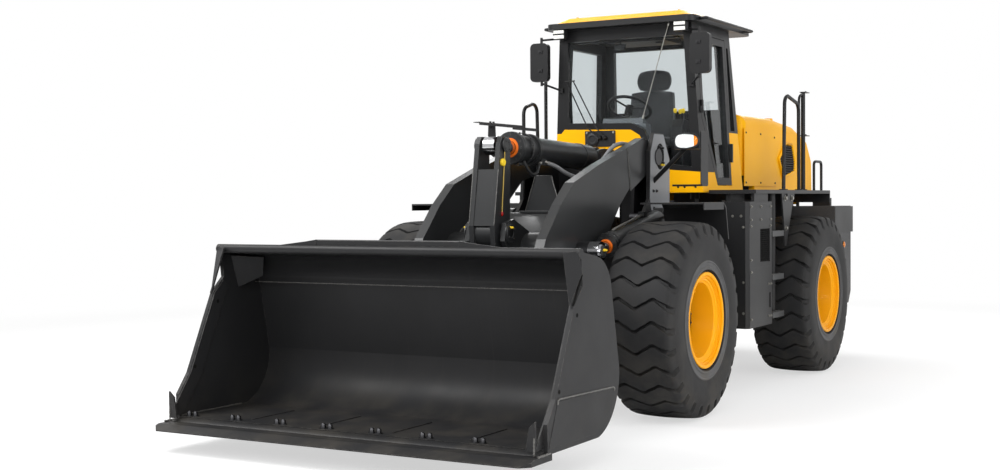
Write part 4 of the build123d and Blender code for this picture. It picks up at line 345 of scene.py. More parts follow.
def moulded(name, colour, roughness, scale=300.0, bump=0.15, shine=0.25):
    finish = Finish(name, colour, roughness)
    finish.put(finish.shader, "Specular IOR Level", shine)
    finish.grain(scale, roughness, 0.06, bump, 0.0006)
    finish.cover(finish.use("dust", Amount=0.25, Reach=1.0, Scale=6.0), DUST)
    return finish.material


def rubber_tread(name, colour, dust):
    finish = Finish(name, colour, 0.62)
    finish.put(finish.shader, "Specular IOR Level", 0.2)
    finish.shade(srgb(46, 45, 44), 5.0, 0.5)
    finish.grain(70.0, 0.62, 0.12, 0.3, 0.002)
    finish.cover(finish.use("dust", Amount=dust, Reach=1.1, Scale=5.0), DUST)
    return finish.material


def bucket_steel():
    """Black paint that carries upright rub marks."""
    finish = Finish("bucket_paint", srgb(33, 33, 34), 0.42)
    finish.put(finish.shader, "Specular IOR Level", 0.16)
    finish.shade(srgb(40, 40, 41), 1.6, 0.5)
    finish.grain(55.0, 0.42, 0.12, 0.16, 0.0012)
    finish.cover(finish.use("streaks", Amount=0.16), srgb(58, 57, 56))
    finish.cover(finish.use("edges", Amount=0.4, Width=0.005), srgb(118, 115, 111))
    finish.cover(finish.use("dust", Amount=0.07, Reach=0.7), DUST)
    return finish.material


def clear_glass(name, tint, roughness=0.0):
    """Glass that lets light through to what is behind it without a dark shadow."""
    finish = Finish(name, tint, roughness, Transmission_Weight=1.0, IOR=1.2)
    tree = finish.tree
    thin = finish.node("BsdfTransparent", Color=tint)
    shadow = finish.node("LightPath").outputs["Is Shadow Ray"]
    mixed = tree.nodes.new("ShaderNodeMixShader")
    out = next(n for n in tree.nodes if n.type == "OUTPUT_MATERIAL")
    tree.links.new(shadow, mixed.inputs[0])
    tree.links.new(finish.shader.outputs[0], mixed.inputs[1])
    tree.links.new(thin.outputs[0], mixed.inputs[2])
    tree.links.new(mixed.outputs[0], out.inputs[0])
    return finish.material


def seat_cloth():
    finish = Finish("seat_cloth", srgb(38, 38, 40), 0.85, Sheen_Weight=0.3)
    finish.shade(srgb(54, 54, 56), 12.0, 0.4)
    threads = finish.use("weave", Scale=260.0)
    bump = finish.node("Bump", Strength=0.5, Distance=0.0008, Height=threads)
    finish.put(finish.shader, "Normal", bump.outputs[0])
    finish.cover(finish.math("MULTIPLY", threads, 0.25), srgb(70, 70, 72))
    return finish.material


def cast_iron():
    """Rough dark casting with pale speckle."""
    finish = Finish("counterweight_casting", srgb(62, 62, 63), 0.6)
    finish.shade(srgb(44, 44, 45), 2.2, 0.5)
    finish.grain(140.0, 0.6, 0.1, 0.45, 0.003)
    speckle = finish.ramp(finish.noise(160.0, 2.0), 0.6, 0.72)
    finish.cover(finish.math("MULTIPLY", speckle, 0.5), srgb(120, 120, 120))
    finish.cover(finish.use("dust", Amount=0.3, Reach=1.0), DUST)
    return finish.material


def braided_hose():
    finish = Finish("hose_cover", srgb(92, 93, 95), 0.5, 0.2)
    threads = finish.use("weave", Scale=180.0)
    bump = finish.node("Bump", Strength=0.6, Distance=0.001, Height=threads)
    finish.put(finish.shader, "Normal", bump.outputs[0])
    finish.cover(finish.math("MULTIPLY", threads, 0.5), srgb(150, 151, 152))
    return finish.material


YELLOW = painted(
    "yellow_paint", srgb(248, 180, 8), srgb(240, 168, 6), 0.4, dust=0.04, wear=0.0, coat=0.04, shine=0.1
)
RIM_YELLOW = painted(
    "rim_paint", srgb(242, 166, 10), srgb(222, 146, 6), 0.38, dust=0.06, wear=0.05, coat=0.04, shine=0.1
)
BLACK = painted("black_paint", srgb(26, 26, 27), srgb(34, 34, 35), 0.36, dust=0.06, wear=0.3, shine=0.2)
PANEL = painted("panel_paint", srgb(34, 34, 35), srgb(28, 28, 29), 0.4, dust=0.08, wear=0.25, shine=0.25)
BOOM_PAINT = painted("boom_paint", srgb(38, 39, 40), srgb(32, 32, 33), 0.34, dust=0.06, wear=0.35, shine=0.3)
FRAME_PAINT = painted(
    "frame_paint", srgb(24, 24, 25), srgb(32, 32, 33), 0.42, dust=0.16, wear=0.25, shine=0.2
)
# Light grey for the tower's side faces, which are dark paint: a painted reflection of the bright surroundings
TOWER_REFLECTION_GREY = painted(
    "tower_face_paint", srgb(122, 124, 127), srgb(66, 67, 69), 0.3, dust=0.04, wear=0.3, shine=0.4
)
TREAD_PAINT = painted("tread_paint", srgb(66, 67, 68), srgb(88, 88, 88), 0.45, dust=0.1, wear=0.6, shine=0.3)
# Weld paint paler than the black around it: real wear, and a painted highlight of the bead's ripples
WELD_WEAR_AND_HIGHLIGHT = painted("weld_bead", srgb(70, 69, 67), srgb(112, 110, 106), 0.3, dust=0.1, wear=0.9, shine=0.6)
MATT_BLACK = moulded("matt_black", srgb(10, 10, 10), 0.8, 200.0, shine=0.1)
BUCKET = bucket_steel()
TYRE = rubber_tread("tyre_rubber", srgb(32, 32, 33), 0.1)
# Paler rubber for the sidewall band beside the rim: dust, and a painted highlight of the sidewall's sheen
TYRE_DUST_AND_HIGHLIGHT = rubber_tread("tyre_rim_band", srgb(88, 88, 89), 0.3)
CASTING = cast_iron()
CHROME = Finish("chrome_rod", srgb(190, 190, 192), 0.12, 1.0).grain(220.0, 0.12, 0.04, 0.03, 0.0002).material
STEEL = plain_metal("zinc_steel", srgb(150, 148, 142), 0.38)
DARK_STEEL = plain_metal("oiled_steel", srgb(70, 70, 72), 0.42)
PLASTIC = moulded("black_plastic", srgb(30, 30, 32), 0.5)
DASH_GREY = moulded("dash_grey", srgb(92, 94, 97), 0.6)
TRIM_RUBBER = moulded("seal_rubber", srgb(18, 18, 19), 0.7, 180.0)
GRIP = moulded("wheel_grip", srgb(24, 24, 25), 0.45, 400.0)
ORANGE = moulded("orange_seal", srgb(236, 112, 24), 0.45, 200.0)
YELLOW_CAP = moulded("yellow_cap", srgb(232, 196, 40), 0.5, 200.0)
GREASE_LINE = moulded("grease_line", srgb(176, 150, 70), 0.45, 200.0)
HOSE = braided_hose()
BLACK_HOSE = moulded("black_hose", srgb(28, 28, 29), 0.55, 240.0)
CLOTH = seat_cloth()
GLASS = clear_glass("window_glass", srgb(226, 230, 231))
LENS = clear_glass("lamp_lens", srgb(240, 243, 244), 0.05)
AMBER = Finish(
    "amber_lens", srgb(244, 138, 20), 0.16, Transmission_Weight=0.3
).grain(260.0, 0.16, 0.04, 0.2, 0.001).material
RED_LENS = Finish(
    "red_lens", srgb(176, 22, 18), 0.18, Transmission_Weight=0.2
).grain(260.0, 0.18, 0.04, 0.2, 0.001).material
REFLECTOR = Finish(
    "lamp_reflector", srgb(222, 222, 220), 0.42, 0.15
).grain(80.0, 0.42, 0.05, 0.3, 0.002).material
LAMP_WHITE = Finish("lamp_diffuser", srgb(236, 236, 230), 0.3).grain(160.0, 0.3, 0.06, 0.5, 0.002).material
MIRROR = Finish("mirror_glass", srgb(215, 218, 220), 0.03, 1.0).grain(30.0, 0.03, 0.01, 0.02, 0.0005).material

# ---------------------------------------------------------------- mesh shapes
MERGE = 1e-5
SHARP = math.radians(35)


def turns(count):
    """Angles once round, evenly spaced."""
    return [2 * math.pi * k / count for k in range(count)]


def turn_to(direction):
    """Rotation that takes +Z to a direction."""
    return Vector((0, 0, 1)).rotation_difference(Vector(direction)).to_matrix().to_4x4()


def rounded_line(points, bend, parts=6):
    """Straight runs through points, their corners rounded off over the bend's length."""
    points = [Vector(p) for p in points]
    line = [points[0]]
    for before, corner, after in zip(points, points[1:], points[2:]):
        reach = min(bend, (before - corner).length * 0.48, (after - corner).length * 0.48)
        start = corner + (before - corner).normalized() * reach
        end = corner + (after - corner).normalized() * reach
        for step in range(parts + 1):
            t = step / parts
            line.append(start * (1 - t) ** 2 + corner * (2 * t * (1 - t)) + end * t * t)
    line.append(points[-1])
    return line


class Piece:
    """Faces gathered into one mesh, placed in the row frame."""

    def __init__(self):
        self.mesh = bmesh.new()

    def faces(self, points, loops):
        made = [self.mesh.verts.new(Vector(p)) for p in points]
        for loop in loops:
            self.mesh.faces.new([made[i] for i in loop])

    def block(self, low, high):
        xs, ys, zs = ((min(a, b), max(a, b)) for a, b in zip(low, high))
        points = [(x, y, z) for x in xs for y in ys for z in zs]
        loops = ((0, 1, 3, 2), (4, 6, 7, 5), (0, 4, 5, 1), (2, 3, 7, 6), (0, 2, 6, 4), (1, 5, 7, 3))
        self.faces(points, loops)

    def plate(self, outline, axis, low, high):
        """Prism of an outline given in the two other axes, in their order."""
        count = len(outline)
        points = []
        for depth in (low, high):
            for pair in outline:
                place = list(pair)
                place.insert(axis, depth)
                points.append(place)
        loops = [range(count), range(2 * count - 1, count - 1, -1)]
        loops += [(i, (i + 1) % count, count + (i + 1) % count, count + i) for i in range(count)]
        self.faces(points, loops)

    def lathe(self, profile, centre, axis, steps=32, closed=False):
        """Turns (along, radius) pairs about an axis through the centre."""
        turn = turn_to(axis)
        points = []
        for step in range(steps):
            a = 2 * math.pi * step / steps
            for along, radius in profile:
                points.append(
                    Vector(centre) + turn @ Vector((radius * math.cos(a), radius * math.sin(a), along))
                )
        count = len(profile)
        last = count if closed else count - 1
        loops = []
        for step in range(steps):
            for i in range(last):
                j = (i + 1) % count
                a, b = step * count, (step + 1) % steps * count
                loops.append((a + i, b + i, b + j, a + j))
        self.faces(points, loops)

    def disc(self, centre, axis, radius, low, high, steps=24, chamfer=0.0):
        """Round plate or pin between two distances along its axis."""
        rim = [(low, radius), (high - chamfer, radius)]
        if chamfer:
            rim.append((high, radius - chamfer))
        self.lathe([(low, 0.0), *rim, (high, 0.0)], centre, axis, steps)

    def tube(self, line, radius, steps=10):
        """Round bar along a line, with flat ends. The radius may be one for each point."""
        line = [Vector(p) for p in line]
        radii = radius if isinstance(radius, (list, tuple)) else [radius] * len(line)
        heading = (line[1] - line[0]).normalized()
        side = heading.orthogonal().normalized()
        points = []
        for i, place in enumerate(line):
            ahead = (line[min(i + 1, len(line) - 1)] - line[max(i - 1, 0)]).normalized()
            side = heading.rotation_difference(ahead) @ side
            heading = ahead
            across = heading.cross(side)
            for step in range(steps):
                a = 2 * math.pi * step / steps
                points.append(place + (side * math.cos(a) + across * math.sin(a)) * radii[i])
        loops = [range(steps - 1, -1, -1), range((len(line) - 1) * steps, len(line) * steps)]
        for i in range(len(line) - 1):
            for step in range(steps):
                a, b = i * steps, (i + 1) * steps
                n = (step + 1) % steps
                loops.append((a + step, a + n, b + n, b + step))
        self.faces(points, loops)

    def bolt(self, place, normal, across=0.03, height=0.016, washer=True):
        """Hexagon head on its washer."""
        radius = across / 2
        base = 0.0
        if washer:
            base = height * 0.22
            self.disc(place, normal, radius * 1.45, -0.001, base, 16)
        self.lathe(
            [
                (base - 0.002, 0.0), (base - 0.002, radius), (base + height * 0.8, radius),
                (base + height, radius * 0.8), (base + height, 0.0)
            ],
            place, normal, 6,
        )

    def nipple(self, place, normal, size=0.009):
        """Grease nipple with its yellow cap's shape."""
        self.lathe(
            [
                (-0.002, 0.0), (-0.002, size), (size, size), (size * 1.3, size * 0.6),
                (size * 2.2, size * 0.8), (size * 2.8, size * 0.3), (size * 2.8, 0.0)
            ],
            place, normal, 10,
        )

    def make(self, name, materials, body, bevel=0.0, angle=SHARP, slot=None, replaces=(), segments=2):
        bmesh.ops.remove_doubles(self.mesh, verts=self.mesh.verts, dist=MERGE)
        bmesh.ops.dissolve_degenerate(self.mesh, edges=self.mesh.edges, dist=MERGE)
        bmesh.ops.recalc_face_normals(self.mesh, faces=self.mesh.faces)
        data = bpy.data.meshes.new(name)
        self.mesh.to_mesh(data)
        self.mesh.free()
        for material in materials if isinstance(materials, (list, tuple)) else (materials,):
            data.materials.append(material)
        data.polygons.foreach_set("use_smooth", [True] * len(data.polygons))
        data.set_sharp_from_angle(angle=angle)
        obj = bpy.data.objects.new(name, data)
        bpy.context.scene.collection.objects.link(obj)
        if bevel:
            edge = obj.modifiers.new("edges", "BEVEL")
            edge.width, edge.segments, edge.limit_method, edge.angle_limit = bevel, segments, "ANGLE", SHARP
            edge.harden_normals = True
        if body:
            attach(obj, body)
        if replaces:
            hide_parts(*replaces)
        return obj


# ---------------------------------------------------------------- wheels
LUGS = 28
LUG_DEPTH = 0.032
WAVE_HEIGHT = 0.034
WAVE_LENGTH = 0.29
GROOVE_FLOOR = 0.016
GROOVE_SLOPE = 0.007

# Half section of the tyre from the crown down to the bead: y, radius, share of the groove's depth
TYRE_SECTION = (
    (0.000, 0.7900, 1.00), (0.016, 0.7900, 1.00), (0.032, 0.7898, 1.00), (0.048, 0.7896, 1.00),
    (0.064, 0.7892, 1.00), (0.080, 0.7888, 1.00), (0.096, 0.7883, 1.00), (0.112, 0.7877, 1.00),
    (0.128, 0.7870, 1.00), (0.144, 0.7862, 1.00), (0.160, 0.7853, 1.00), (0.176, 0.7843, 1.00),
    (0.192, 0.7832, 1.00), (0.208, 0.7818, 1.00), (0.224, 0.7800, 1.00), (0.240, 0.7775, 1.00),
    (0.254, 0.7735, 1.00), (0.264, 0.7670, 1.00), (0.271, 0.7580, 1.00), (0.276, 0.7450, 0.95),
    (0.280, 0.7280, 0.85), (0.284, 0.7100, 0.65), (0.288, 0.6930, 0.35), (0.292, 0.6780, 0.00),
    (0.2960, 0.6600, 0.00), (0.2990, 0.6350, 0.00), (0.3000, 0.6150, 0.00), (0.3000, 0.5850, 0.00),
    (0.2985, 0.5500, 0.00), (0.2960, 0.5150, 0.00), (0.2920, 0.4850, 0.00), (0.2925, 0.4780, 0.00),
    (0.2965, 0.4740, 0.00), (0.2965, 0.4660, 0.00), (0.2900, 0.4610, 0.00), (0.2860, 0.4400, 0.00),
    (0.2870, 0.4300, 0.00), (0.2945, 0.4220, 0.00), (0.2935, 0.4060, 0.00), (0.2780, 0.3990, 0.00),
    (0.2640, 0.3970, 0.00), (0.2630, 0.3460, 0.00), (0.2400, 0.3452, 0.00),
)
# Radii of that paler sidewall band, partly dust and partly a painted highlight
DUST_AND_HIGHLIGHT_RADIUS = (0.405, 0.480)


def wave(y):
    """Shift of a groove round the tyre, across its width."""
    phase = 2 * math.pi * y / WAVE_LENGTH
    return WAVE_HEIGHT * (math.cos(phase) + 0.12 * math.cos(3 * phase))


def tyre_piece(name, centre, body, node):
    """Carcass with wavy cross lugs that run down over the shoulders."""
    section = [(-y, r, d) for y, r, d in reversed(TYRE_SECTION)] + list(TYRE_SECTION[1:])
    pitch = 2 * math.pi * TYRE_SECTION[0][1] / LUGS
    flat = GROOVE_FLOOR / 2
    wall = flat + GROOVE_SLOPE
    rest = pitch - 2 * wall
    # Places along one pitch (metres round the tread) and whether they lie in the groove
    stations = [(-wall, 0), (-flat, 1), (flat, 1), (wall, 0)]
    stations += [(wall + rest * part, 0) for part in (0.25, 0.5, 0.75)]
    columns = len(section)
    points = []
    for lug in range(LUGS):
        for distance, low in stations:
            for i, (y, r, share) in enumerate(section):
                before, after = section[max(i - 1, 0)], section[min(i + 1, columns - 1)]
                run_y, run_r = after[0] - before[0], after[1] - before[1]
                length = math.hypot(run_y, run_r)
                out_y, out_r = -run_r / length, run_y / length
                # Grooves widen towards the shoulders
                spread = 1 + 1.1 * max(0.0, abs(y) - 0.18) / 0.1 if abs(distance) <= wall else 1.0
                sink = LUG_DEPTH * share * low
                fade = 1.0 if r > 0.7 else max(0.0, (r - 0.62) / 0.08)
                along = lug * pitch + distance * spread + wave(max(-0.29, min(0.29, y))) * fade
                a = along / TYRE_SECTION[0][1]
                radius = r - out_r * sink
                points.append(
                    (
                        centre.x + radius * math.sin(a), centre.y + y - out_y * sink,
                        centre.z + radius * math.cos(a)
                    )
                )
    rows = LUGS * len(stations)
    tyre = Piece()
    loops_plain, loops_dust_and_highlight = [], []
    for row in range(rows):
        for i in range(columns - 1):
            a, b = row * columns, (row + 1) % rows * columns
            middle = (section[i][1] + section[i + 1][1]) / 2
            target = loops_dust_and_highlight if DUST_AND_HIGHLIGHT_RADIUS[0] < middle < DUST_AND_HIGHLIGHT_RADIUS[1] else loops_plain
            target.append((a + i, a + i + 1, b + i + 1, b + i))
    made = [tyre.mesh.verts.new(p) for p in points]
    for index, loops in enumerate((loops_plain, loops_dust_and_highlight)):
        for loop in loops:
            tyre.mesh.faces.new([made[i] for i in loop]).material_index = index
    tyre.make(name, (TYRE, TYRE_DUST_AND_HIGHLIGHT), body, angle=math.radians(32), replaces=(node,))


# Rim's section outwards from the tyre's middle, and the dark hub in it: along, radius
RIM_SECTION = (
    (-0.2870, 0.3850), (-0.2700, 0.3850), (-0.2650, 0.3760), (-0.2650, 0.3445), (0.2650, 0.3445),
    (0.2650, 0.3760), (0.2700, 0.3850), (0.2830, 0.3850), (0.2870, 0.3800), (0.2870, 0.3640),
    (0.2800, 0.3560), (0.2640, 0.3540), (0.2600, 0.3400), (0.2480, 0.3360), (0.2440, 0.3230),
    (0.2360, 0.3180), (0.2290, 0.3020), (0.2200, 0.2985), (0.0620, 0.2890), (0.0560, 0.2850),
    (0.0100, 0.2840), (-0.0380, 0.2420), (-0.0380, 0.2000), (-0.0600, 0.2000), (-0.0600, 0.3285),
    (-0.2700, 0.3285), (-0.2870, 0.3600),
)
HUB_SECTION = (
    (-0.0370, 0.0), (-0.0370, 0.2340), (-0.0040, 0.2340), (0.0010, 0.2300), (0.0010, 0.1920),
    (0.0120, 0.1860), (0.0780, 0.1700), (0.0860, 0.1640), (0.0900, 0.1560), (0.0900, 0.0900),
    (0.1040, 0.0840), (0.1080, 0.0780), (0.1080, 0.0300), (0.1120, 0.0260), (0.1120, 0.0),
)
BACK_SECTION = (
    (-0.0620, 0.2400), (-0.0620, 0.1950), (-0.0900, 0.1650), (-0.0900, 0.0),
)


def wheel(end, side_name, side):
    body = f"wheel_{end}_{side_name}"
    low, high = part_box(f"tyre_{end}_{side_name}")
    centre = (low + high) / 2
    tyre_piece(f"tread_{end}_{side_name}", centre, body, f"tyre_{end}_{side_name}")
    out = Vector((0, side, 0))

    rim = Piece()
    rim.lathe(RIM_SECTION, centre, out, 96, closed=True)
    # Valve in the rim's well
    stem = centre + Vector((0, side * 0.20, 0)) + Vector((math.sin(0.6), 0, math.cos(0.6))) * 0.285
    rim.tube([stem, stem + Vector((0, side * 0.05, 0))], 0.006, 8)
    rim.make(f"rim_shell_{end}_{side_name}", RIM_YELLOW, body, replaces=(f"rim_{end}_{side_name}",))

    hub = Piece()
    hub.lathe(HUB_SECTION, centre, out, 64)
    hub.lathe(BACK_SECTION, centre, out, 48)
    hub.make(f"hub_{end}_{side_name}", FRAME_PAINT, body)

    bolts = Piece()
    for count, radius, y, size in (
        (20, 0.213, 0.001, 0.028), (12, 0.135, 0.09, 0.018), (3, 0.050, 0.108, 0.016)
    ):
        for step in range(count):
            a = 2 * math.pi * (step + 0.5) / count
            place = centre + Vector((math.sin(a) * radius, side * y, math.cos(a) * radius))
            bolts.bolt(place, out, size, size * 0.6)
    bolts.make(f"hub_bolts_{end}_{side_name}", DARK_STEEL, body)


for end in ("front", "rear"):
    for side_name, side in SIDES:
        wheel(end, side_name, side)


# ---------------------------------------------------------------- small shared shapes
def bead(piece, path, radius, seed, pitch=0.012):
    """Weld bead: overlapping ripples along a path, uneven in width."""
    spread = random.Random(seed)
    path = [Vector(p) for p in path]
    line, radii = [], []
    for a, b in zip(path, path[1:]):
        count = max(2, int((b - a).length / pitch))
        for step in range(count):
            jitter = Vector([spread.uniform(-1, 1) for _ in range(3)]) * radius * 0.12
            line.append(a + (b - a) * step / count + jitter)
            radii.append(radius * (1.15 if step % 2 else 0.8) * spread.uniform(0.85, 1.12))
    line.append(path[-1])
    radii.append(radius * 0.5)
    piece.tube(line, radii, 6)


def panel(piece, corners, thickness, normal):
    """Plate through corners in order, its thickness along a normal."""
    count = len(corners)
    lift = Vector(normal).normalized() * thickness
    points = [Vector(c) for c in corners] + [Vector(c) + lift for c in corners]
    loops = [range(count), range(2 * count - 1, count - 1, -1)]
    loops += [(i, (i + 1) % count, count + (i + 1) % count, count + i) for i in range(count)]
    piece.faces(points, loops)


def ring_of_bolts(piece, centre, axis, radius, count, across, turn=0.0):
    """Bolts on a circle, their heads along the axis."""
    aim = turn_to(axis)
    for step in range(count):
        a = 2 * math.pi * step / count + turn
        place = Vector(centre) + aim @ Vector((math.cos(a) * radius, math.sin(a) * radius, 0))
        piece.bolt(place, axis, across, across * 0.6, washer=False)


def pin_cap(piece, centre, side, radius, height=0.012):
    """Stepped round cap with a ring of bolts on a pin's end."""
    out = (0, side, 0)
    piece.lathe(
        [
            (-0.002, 0.0), (-0.002, radius), (height, radius), (height, radius * 0.86),
            (height * 1.6, radius * 0.8), (height * 1.6, radius * 0.42), (height * 1.2, radius * 0.38),
            (height * 1.2, 0.0),
        ],
        centre, out, 40,
    )
    rim = Vector(centre) + Vector(out) * height * 1.6
    ring_of_bolts(piece, rim, out, radius * 0.62, 4, radius * 0.2, 0.6)


# ---------------------------------------------------------------- bucket
BUCKET_LOW, BUCKET_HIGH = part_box("bucket")
BUCKET_HALF = (BUCKET_HIGH.y - BUCKET_LOW.y) / 2
BUCKET_SIDE = 0.030
BUCKET_FLOOR_TOP = 0.218
BOLT_ROW_X = 2.835
BOLT_PAIRS = 8
BOLT_PITCH = 0.4
PAIR_GAP = 0.056


def bucket():
    inner = BUCKET_HALF - BUCKET_SIDE
    bolts = Piece()
    for pair in range(BOLT_PAIRS):
        middle = (pair - (BOLT_PAIRS - 1) / 2) * BOLT_PITCH
        for step in (-0.5, 0.5):
            place = at(BOLT_ROW_X, middle + step * PAIR_GAP, BUCKET_FLOOR_TOP)
            bolts.bolt(place, (0, 0, 1), 0.036, 0.026)
            bolts.disc(place, (0, 0, 1), 0.011, 0.02, 0.036, 12, 0.003)
    bolts.make("bucket_edge_bolts", DARK_STEEL, "bucket_body", slot="black_paint")

    welds = Piece()
    bead(welds, [at(2.884, -inner, 0.194), at(2.884, inner, 0.194)], 0.006, 1)
    bead(welds, [at(2.02, -inner, 1.143), at(2.02, inner, 1.143)], 0.0035, 2)
    for side in (1, -1):
        y = side * inner
        foot = BUCKET_FLOOR_TOP + 0.004
        bead(welds, [at(2.86, y - side * 0.004, foot), at(2.2, y - side * 0.004, foot)], 0.005, 3 + side)
        # Bead across the outside of the side plate, with a hook at each end
        out = side * (BUCKET_HALF + 0.003)
        hooked = [
            at(2.745, out, 0.485), at(2.742, out, 0.508), at(2.72, out, 0.516), at(2.3, out, 0.506),
            at(1.935, out, 0.497), at(1.915, out, 0.488), at(1.912, out, 0.468),
        ]
        bead(welds, hooked, 0.006, 8 + side)
        # Short beads where the side plate stands on the edge
        bead(
            welds, [at(3.0, out - side * 0.004, 0.196), at(2.84, out - side * 0.004, 0.196)],
            0.008, 12 + side
        )
        bead(welds, [at(2.985, y - side * 0.008, 0.196), at(2.985, y - side * 0.008, 0.31)], 0.006, 14 + side)
    welds.make("bucket_welds", WELD_WEAR_AND_HIGHLIGHT, "bucket_body", slot="black_paint")

    plates = Piece()
    for side in (1, -1):
        inside, outside = side * inner, side * BUCKET_HALF
        # Strip along the front edge of the side plate
        strip = (
            (2.988, 0.225), (2.765, 0.52), (2.497, 1.085), (2.40, 1.175),
            (2.33, 1.12), (2.395, 1.04), (2.655, 0.49), (2.86, 0.225),
        )
        plates.plate([at(x, 0, z).xz for x, z in strip], 1, inside - side * 0.011, inside)
        # Wear plate on the lower outside
        wear = ((2.742, 0.503), (2.868, 0.222), (2.2, 0.222), (1.97, 0.335), (1.895, 0.42), (1.9, 0.49))
        plates.plate([at(x, 0, z).xz for x, z in wear], 1, outside, outside + side * 0.003)
        # Flange between the lip's end and the side plate
        flange = (
            at(2.452, inside - side * 0.075, 1.418), at(2.412, outside - side * 0.01, 1.43),
            at(2.395, outside + side * 0.004, 1.285), at(2.515, inside, 1.075),
        )
        panel(plates, flange, 0.014, (1, side * 0.4, 0))
        # Gusset on the lower front corner
        gusset = (
            at(2.985, inside, 0.22), at(2.985, inside - side * 0.07, 0.22),
            at(2.985, inside - side * 0.045, 0.37), at(2.985, inside, 0.41),
        )
        panel(plates, gusset, 0.016, (-1, 0, 0))
        # Triangular end of the spill guard
        guard = (
            at(2.40, side * 0.60, 1.485), at(2.40, side * 0.69, 1.472),
            at(2.40, side * 1.0, 1.436), at(2.40, side * 0.60, 1.42),
        )
        panel(plates, guard, 0.012, (1, 0, 0))
        # Closing plate in the inner top corner
        corner = (
            at(2.30, inside, 1.36), at(2.16, inside - side * 0.20, 1.345),
            at(2.10, inside - side * 0.14, 1.20), at(2.22, inside, 1.12),
        )
        panel(plates, corner, 0.012, (1, -side, -1))
    # Ribs of the wear plates on the floor
    for y in (-0.9, -0.3, 0.3, 0.9):
        plates.block(at(2.3, y - 0.006, BUCKET_FLOOR_TOP), at(2.78, y + 0.006, BUCKET_FLOOR_TOP + 0.006))
    # Layered step along the edge
    half = BUCKET_HALF - 0.02
    step = ((2.884, 0.191), (2.955, 0.191), (2.94, 0.204), (2.884, 0.212))
    plates.plate([at(x, 0, z).xz for x, z in step], 1, -half, half)
    plates.make("bucket_plates", BUCKET, "bucket_body", bevel=0.002, slot="steel")

    shade_marks = Piece()
    for side in (1, -1):
        # Flat matt black discs on both faces of the side plate: painted shade of the holes
        for x, z in ((2.465, 1.02), (2.72, 0.56)):
            for y in (side * (BUCKET_HALF + 0.0005), side * (inner - 0.0115)):
                shade_marks.lathe([(0, 0), (0, 0.014), (0.0008, 0.014), (0.0008, 0)], at(x, y, z), (0, side, 0), 20)
        # Dark bar beside the flange's edge: painted shadow of the gap
        out = side * (BUCKET_HALF + 0.004)
        shade_marks.tube([at(2.40, out, 1.275), at(2.505, out - side * 0.012, 1.085)], 0.007, 8)
    shade_marks.make("bucket_hole_and_gap_painted_shade", MATT_BLACK, "bucket_body", slot="black_paint")


bucket()


# ---------------------------------------------------------------- rocker and level indicator
def rocker():
    sign = Piece()
    sign.plate(
        [(-0.035, 2.235), (0.035, 2.235), (0.03, 2.352), (-0.03, 2.352)], 0,
        at(0.905, 0, 0).x, at(0.917, 0, 0).x
    )
    sign.block(at(0.87, -0.03, 2.35), at(0.95, 0.03, 2.358))
    # Angle bar in two lengths, the rear one a little lower
    for back, front, level in ((0.42, 1.15, 2.366), (0.2, 0.62, 2.352)):
        ends = [at(x, 0, 0).x for x in (back, front)]
        sign.block((ends[0], -0.028, level - 0.005), (ends[1], 0.028, level))
        sign.block((ends[0], 0.024, level - 0.024), (ends[1], 0.028, level))
    for x in (0.885, 0.935):
        sign.bolt(at(x, 0, 2.366), (0, 0, 1), 0.02, 0.012)
    sign.make("level_indicator", BLACK, "dump_piston", bevel=0.001, slot="black_paint")

    marks = Piece()
    marks.nipple(at(0.93, 0.118, 2.168), (0, 1, 0), 0.008)
    marks.lathe(
        [(0, 0), (0, 0.03), (0.018, 0.03), (0.024, 0.022), (0.024, 0)], at(0.955, 0.114, 2.055), (0, 1, 0), 24
    )
    marks.make("rocker_cap", YELLOW_CAP, "rocker_arm", bevel=0.0006, slot="plastic")

    line = Piece()
    run = [at(x, y, z) for x, y, z in (
        (0.93, 0.126, 2.165), (0.925, 0.122, 2.09), (0.938, 0.121, 1.98), (0.95, 0.121, 1.86),
        (0.963, 0.121, 1.75), (0.97, 0.121, 1.665)
    )]
    line.tube(rounded_line(run, 0.05), 0.0045, 8)
    line.make("rocker_grease_line", GREASE_LINE, "rocker_arm", slot="plastic")
    tip = Piece()
    tip.lathe(
        [(0, 0), (0, 0.009), (0.02, 0.011), (0.034, 0.006), (0.034, 0)],
        at(0.97, 0.121, 1.668), (0.05, 0, -1), 12
    )
    tip.make("grease_line_tip", RED_LENS, "rocker_arm", slot="plastic")

    caps = Piece()
    for side in (1, -1):
        for x, z, radius in ((0.9, 2.19, 0.062), (0.97, 0.75, 0.055)):
            pin_cap(caps, at(x, side * 0.1275, z), side, radius, 0.007)
    caps.make("rocker_pin_caps", BOOM_PAINT, "rocker_arm", bevel=0.001, slot="black_paint")
    welds = Piece()
    for side in (1, -1):
        for x0, z0, x1, z1 in ((1.012, 2.0, 1.085, 1.56), (1.055, 1.39, 1.045, 1.02)):
            bead(welds, [at(x0, side * 0.113, z0), at(x1, side * 0.113, z1)], 0.004, 31 + side)
    welds.make("rocker_welds", WELD_WEAR_AND_HIGHLIGHT, "rocker_arm", slot="black_paint")


# ---------------------------------------------------------------- boom
ARM_Y = 0.550
ARM_HALF = 0.040


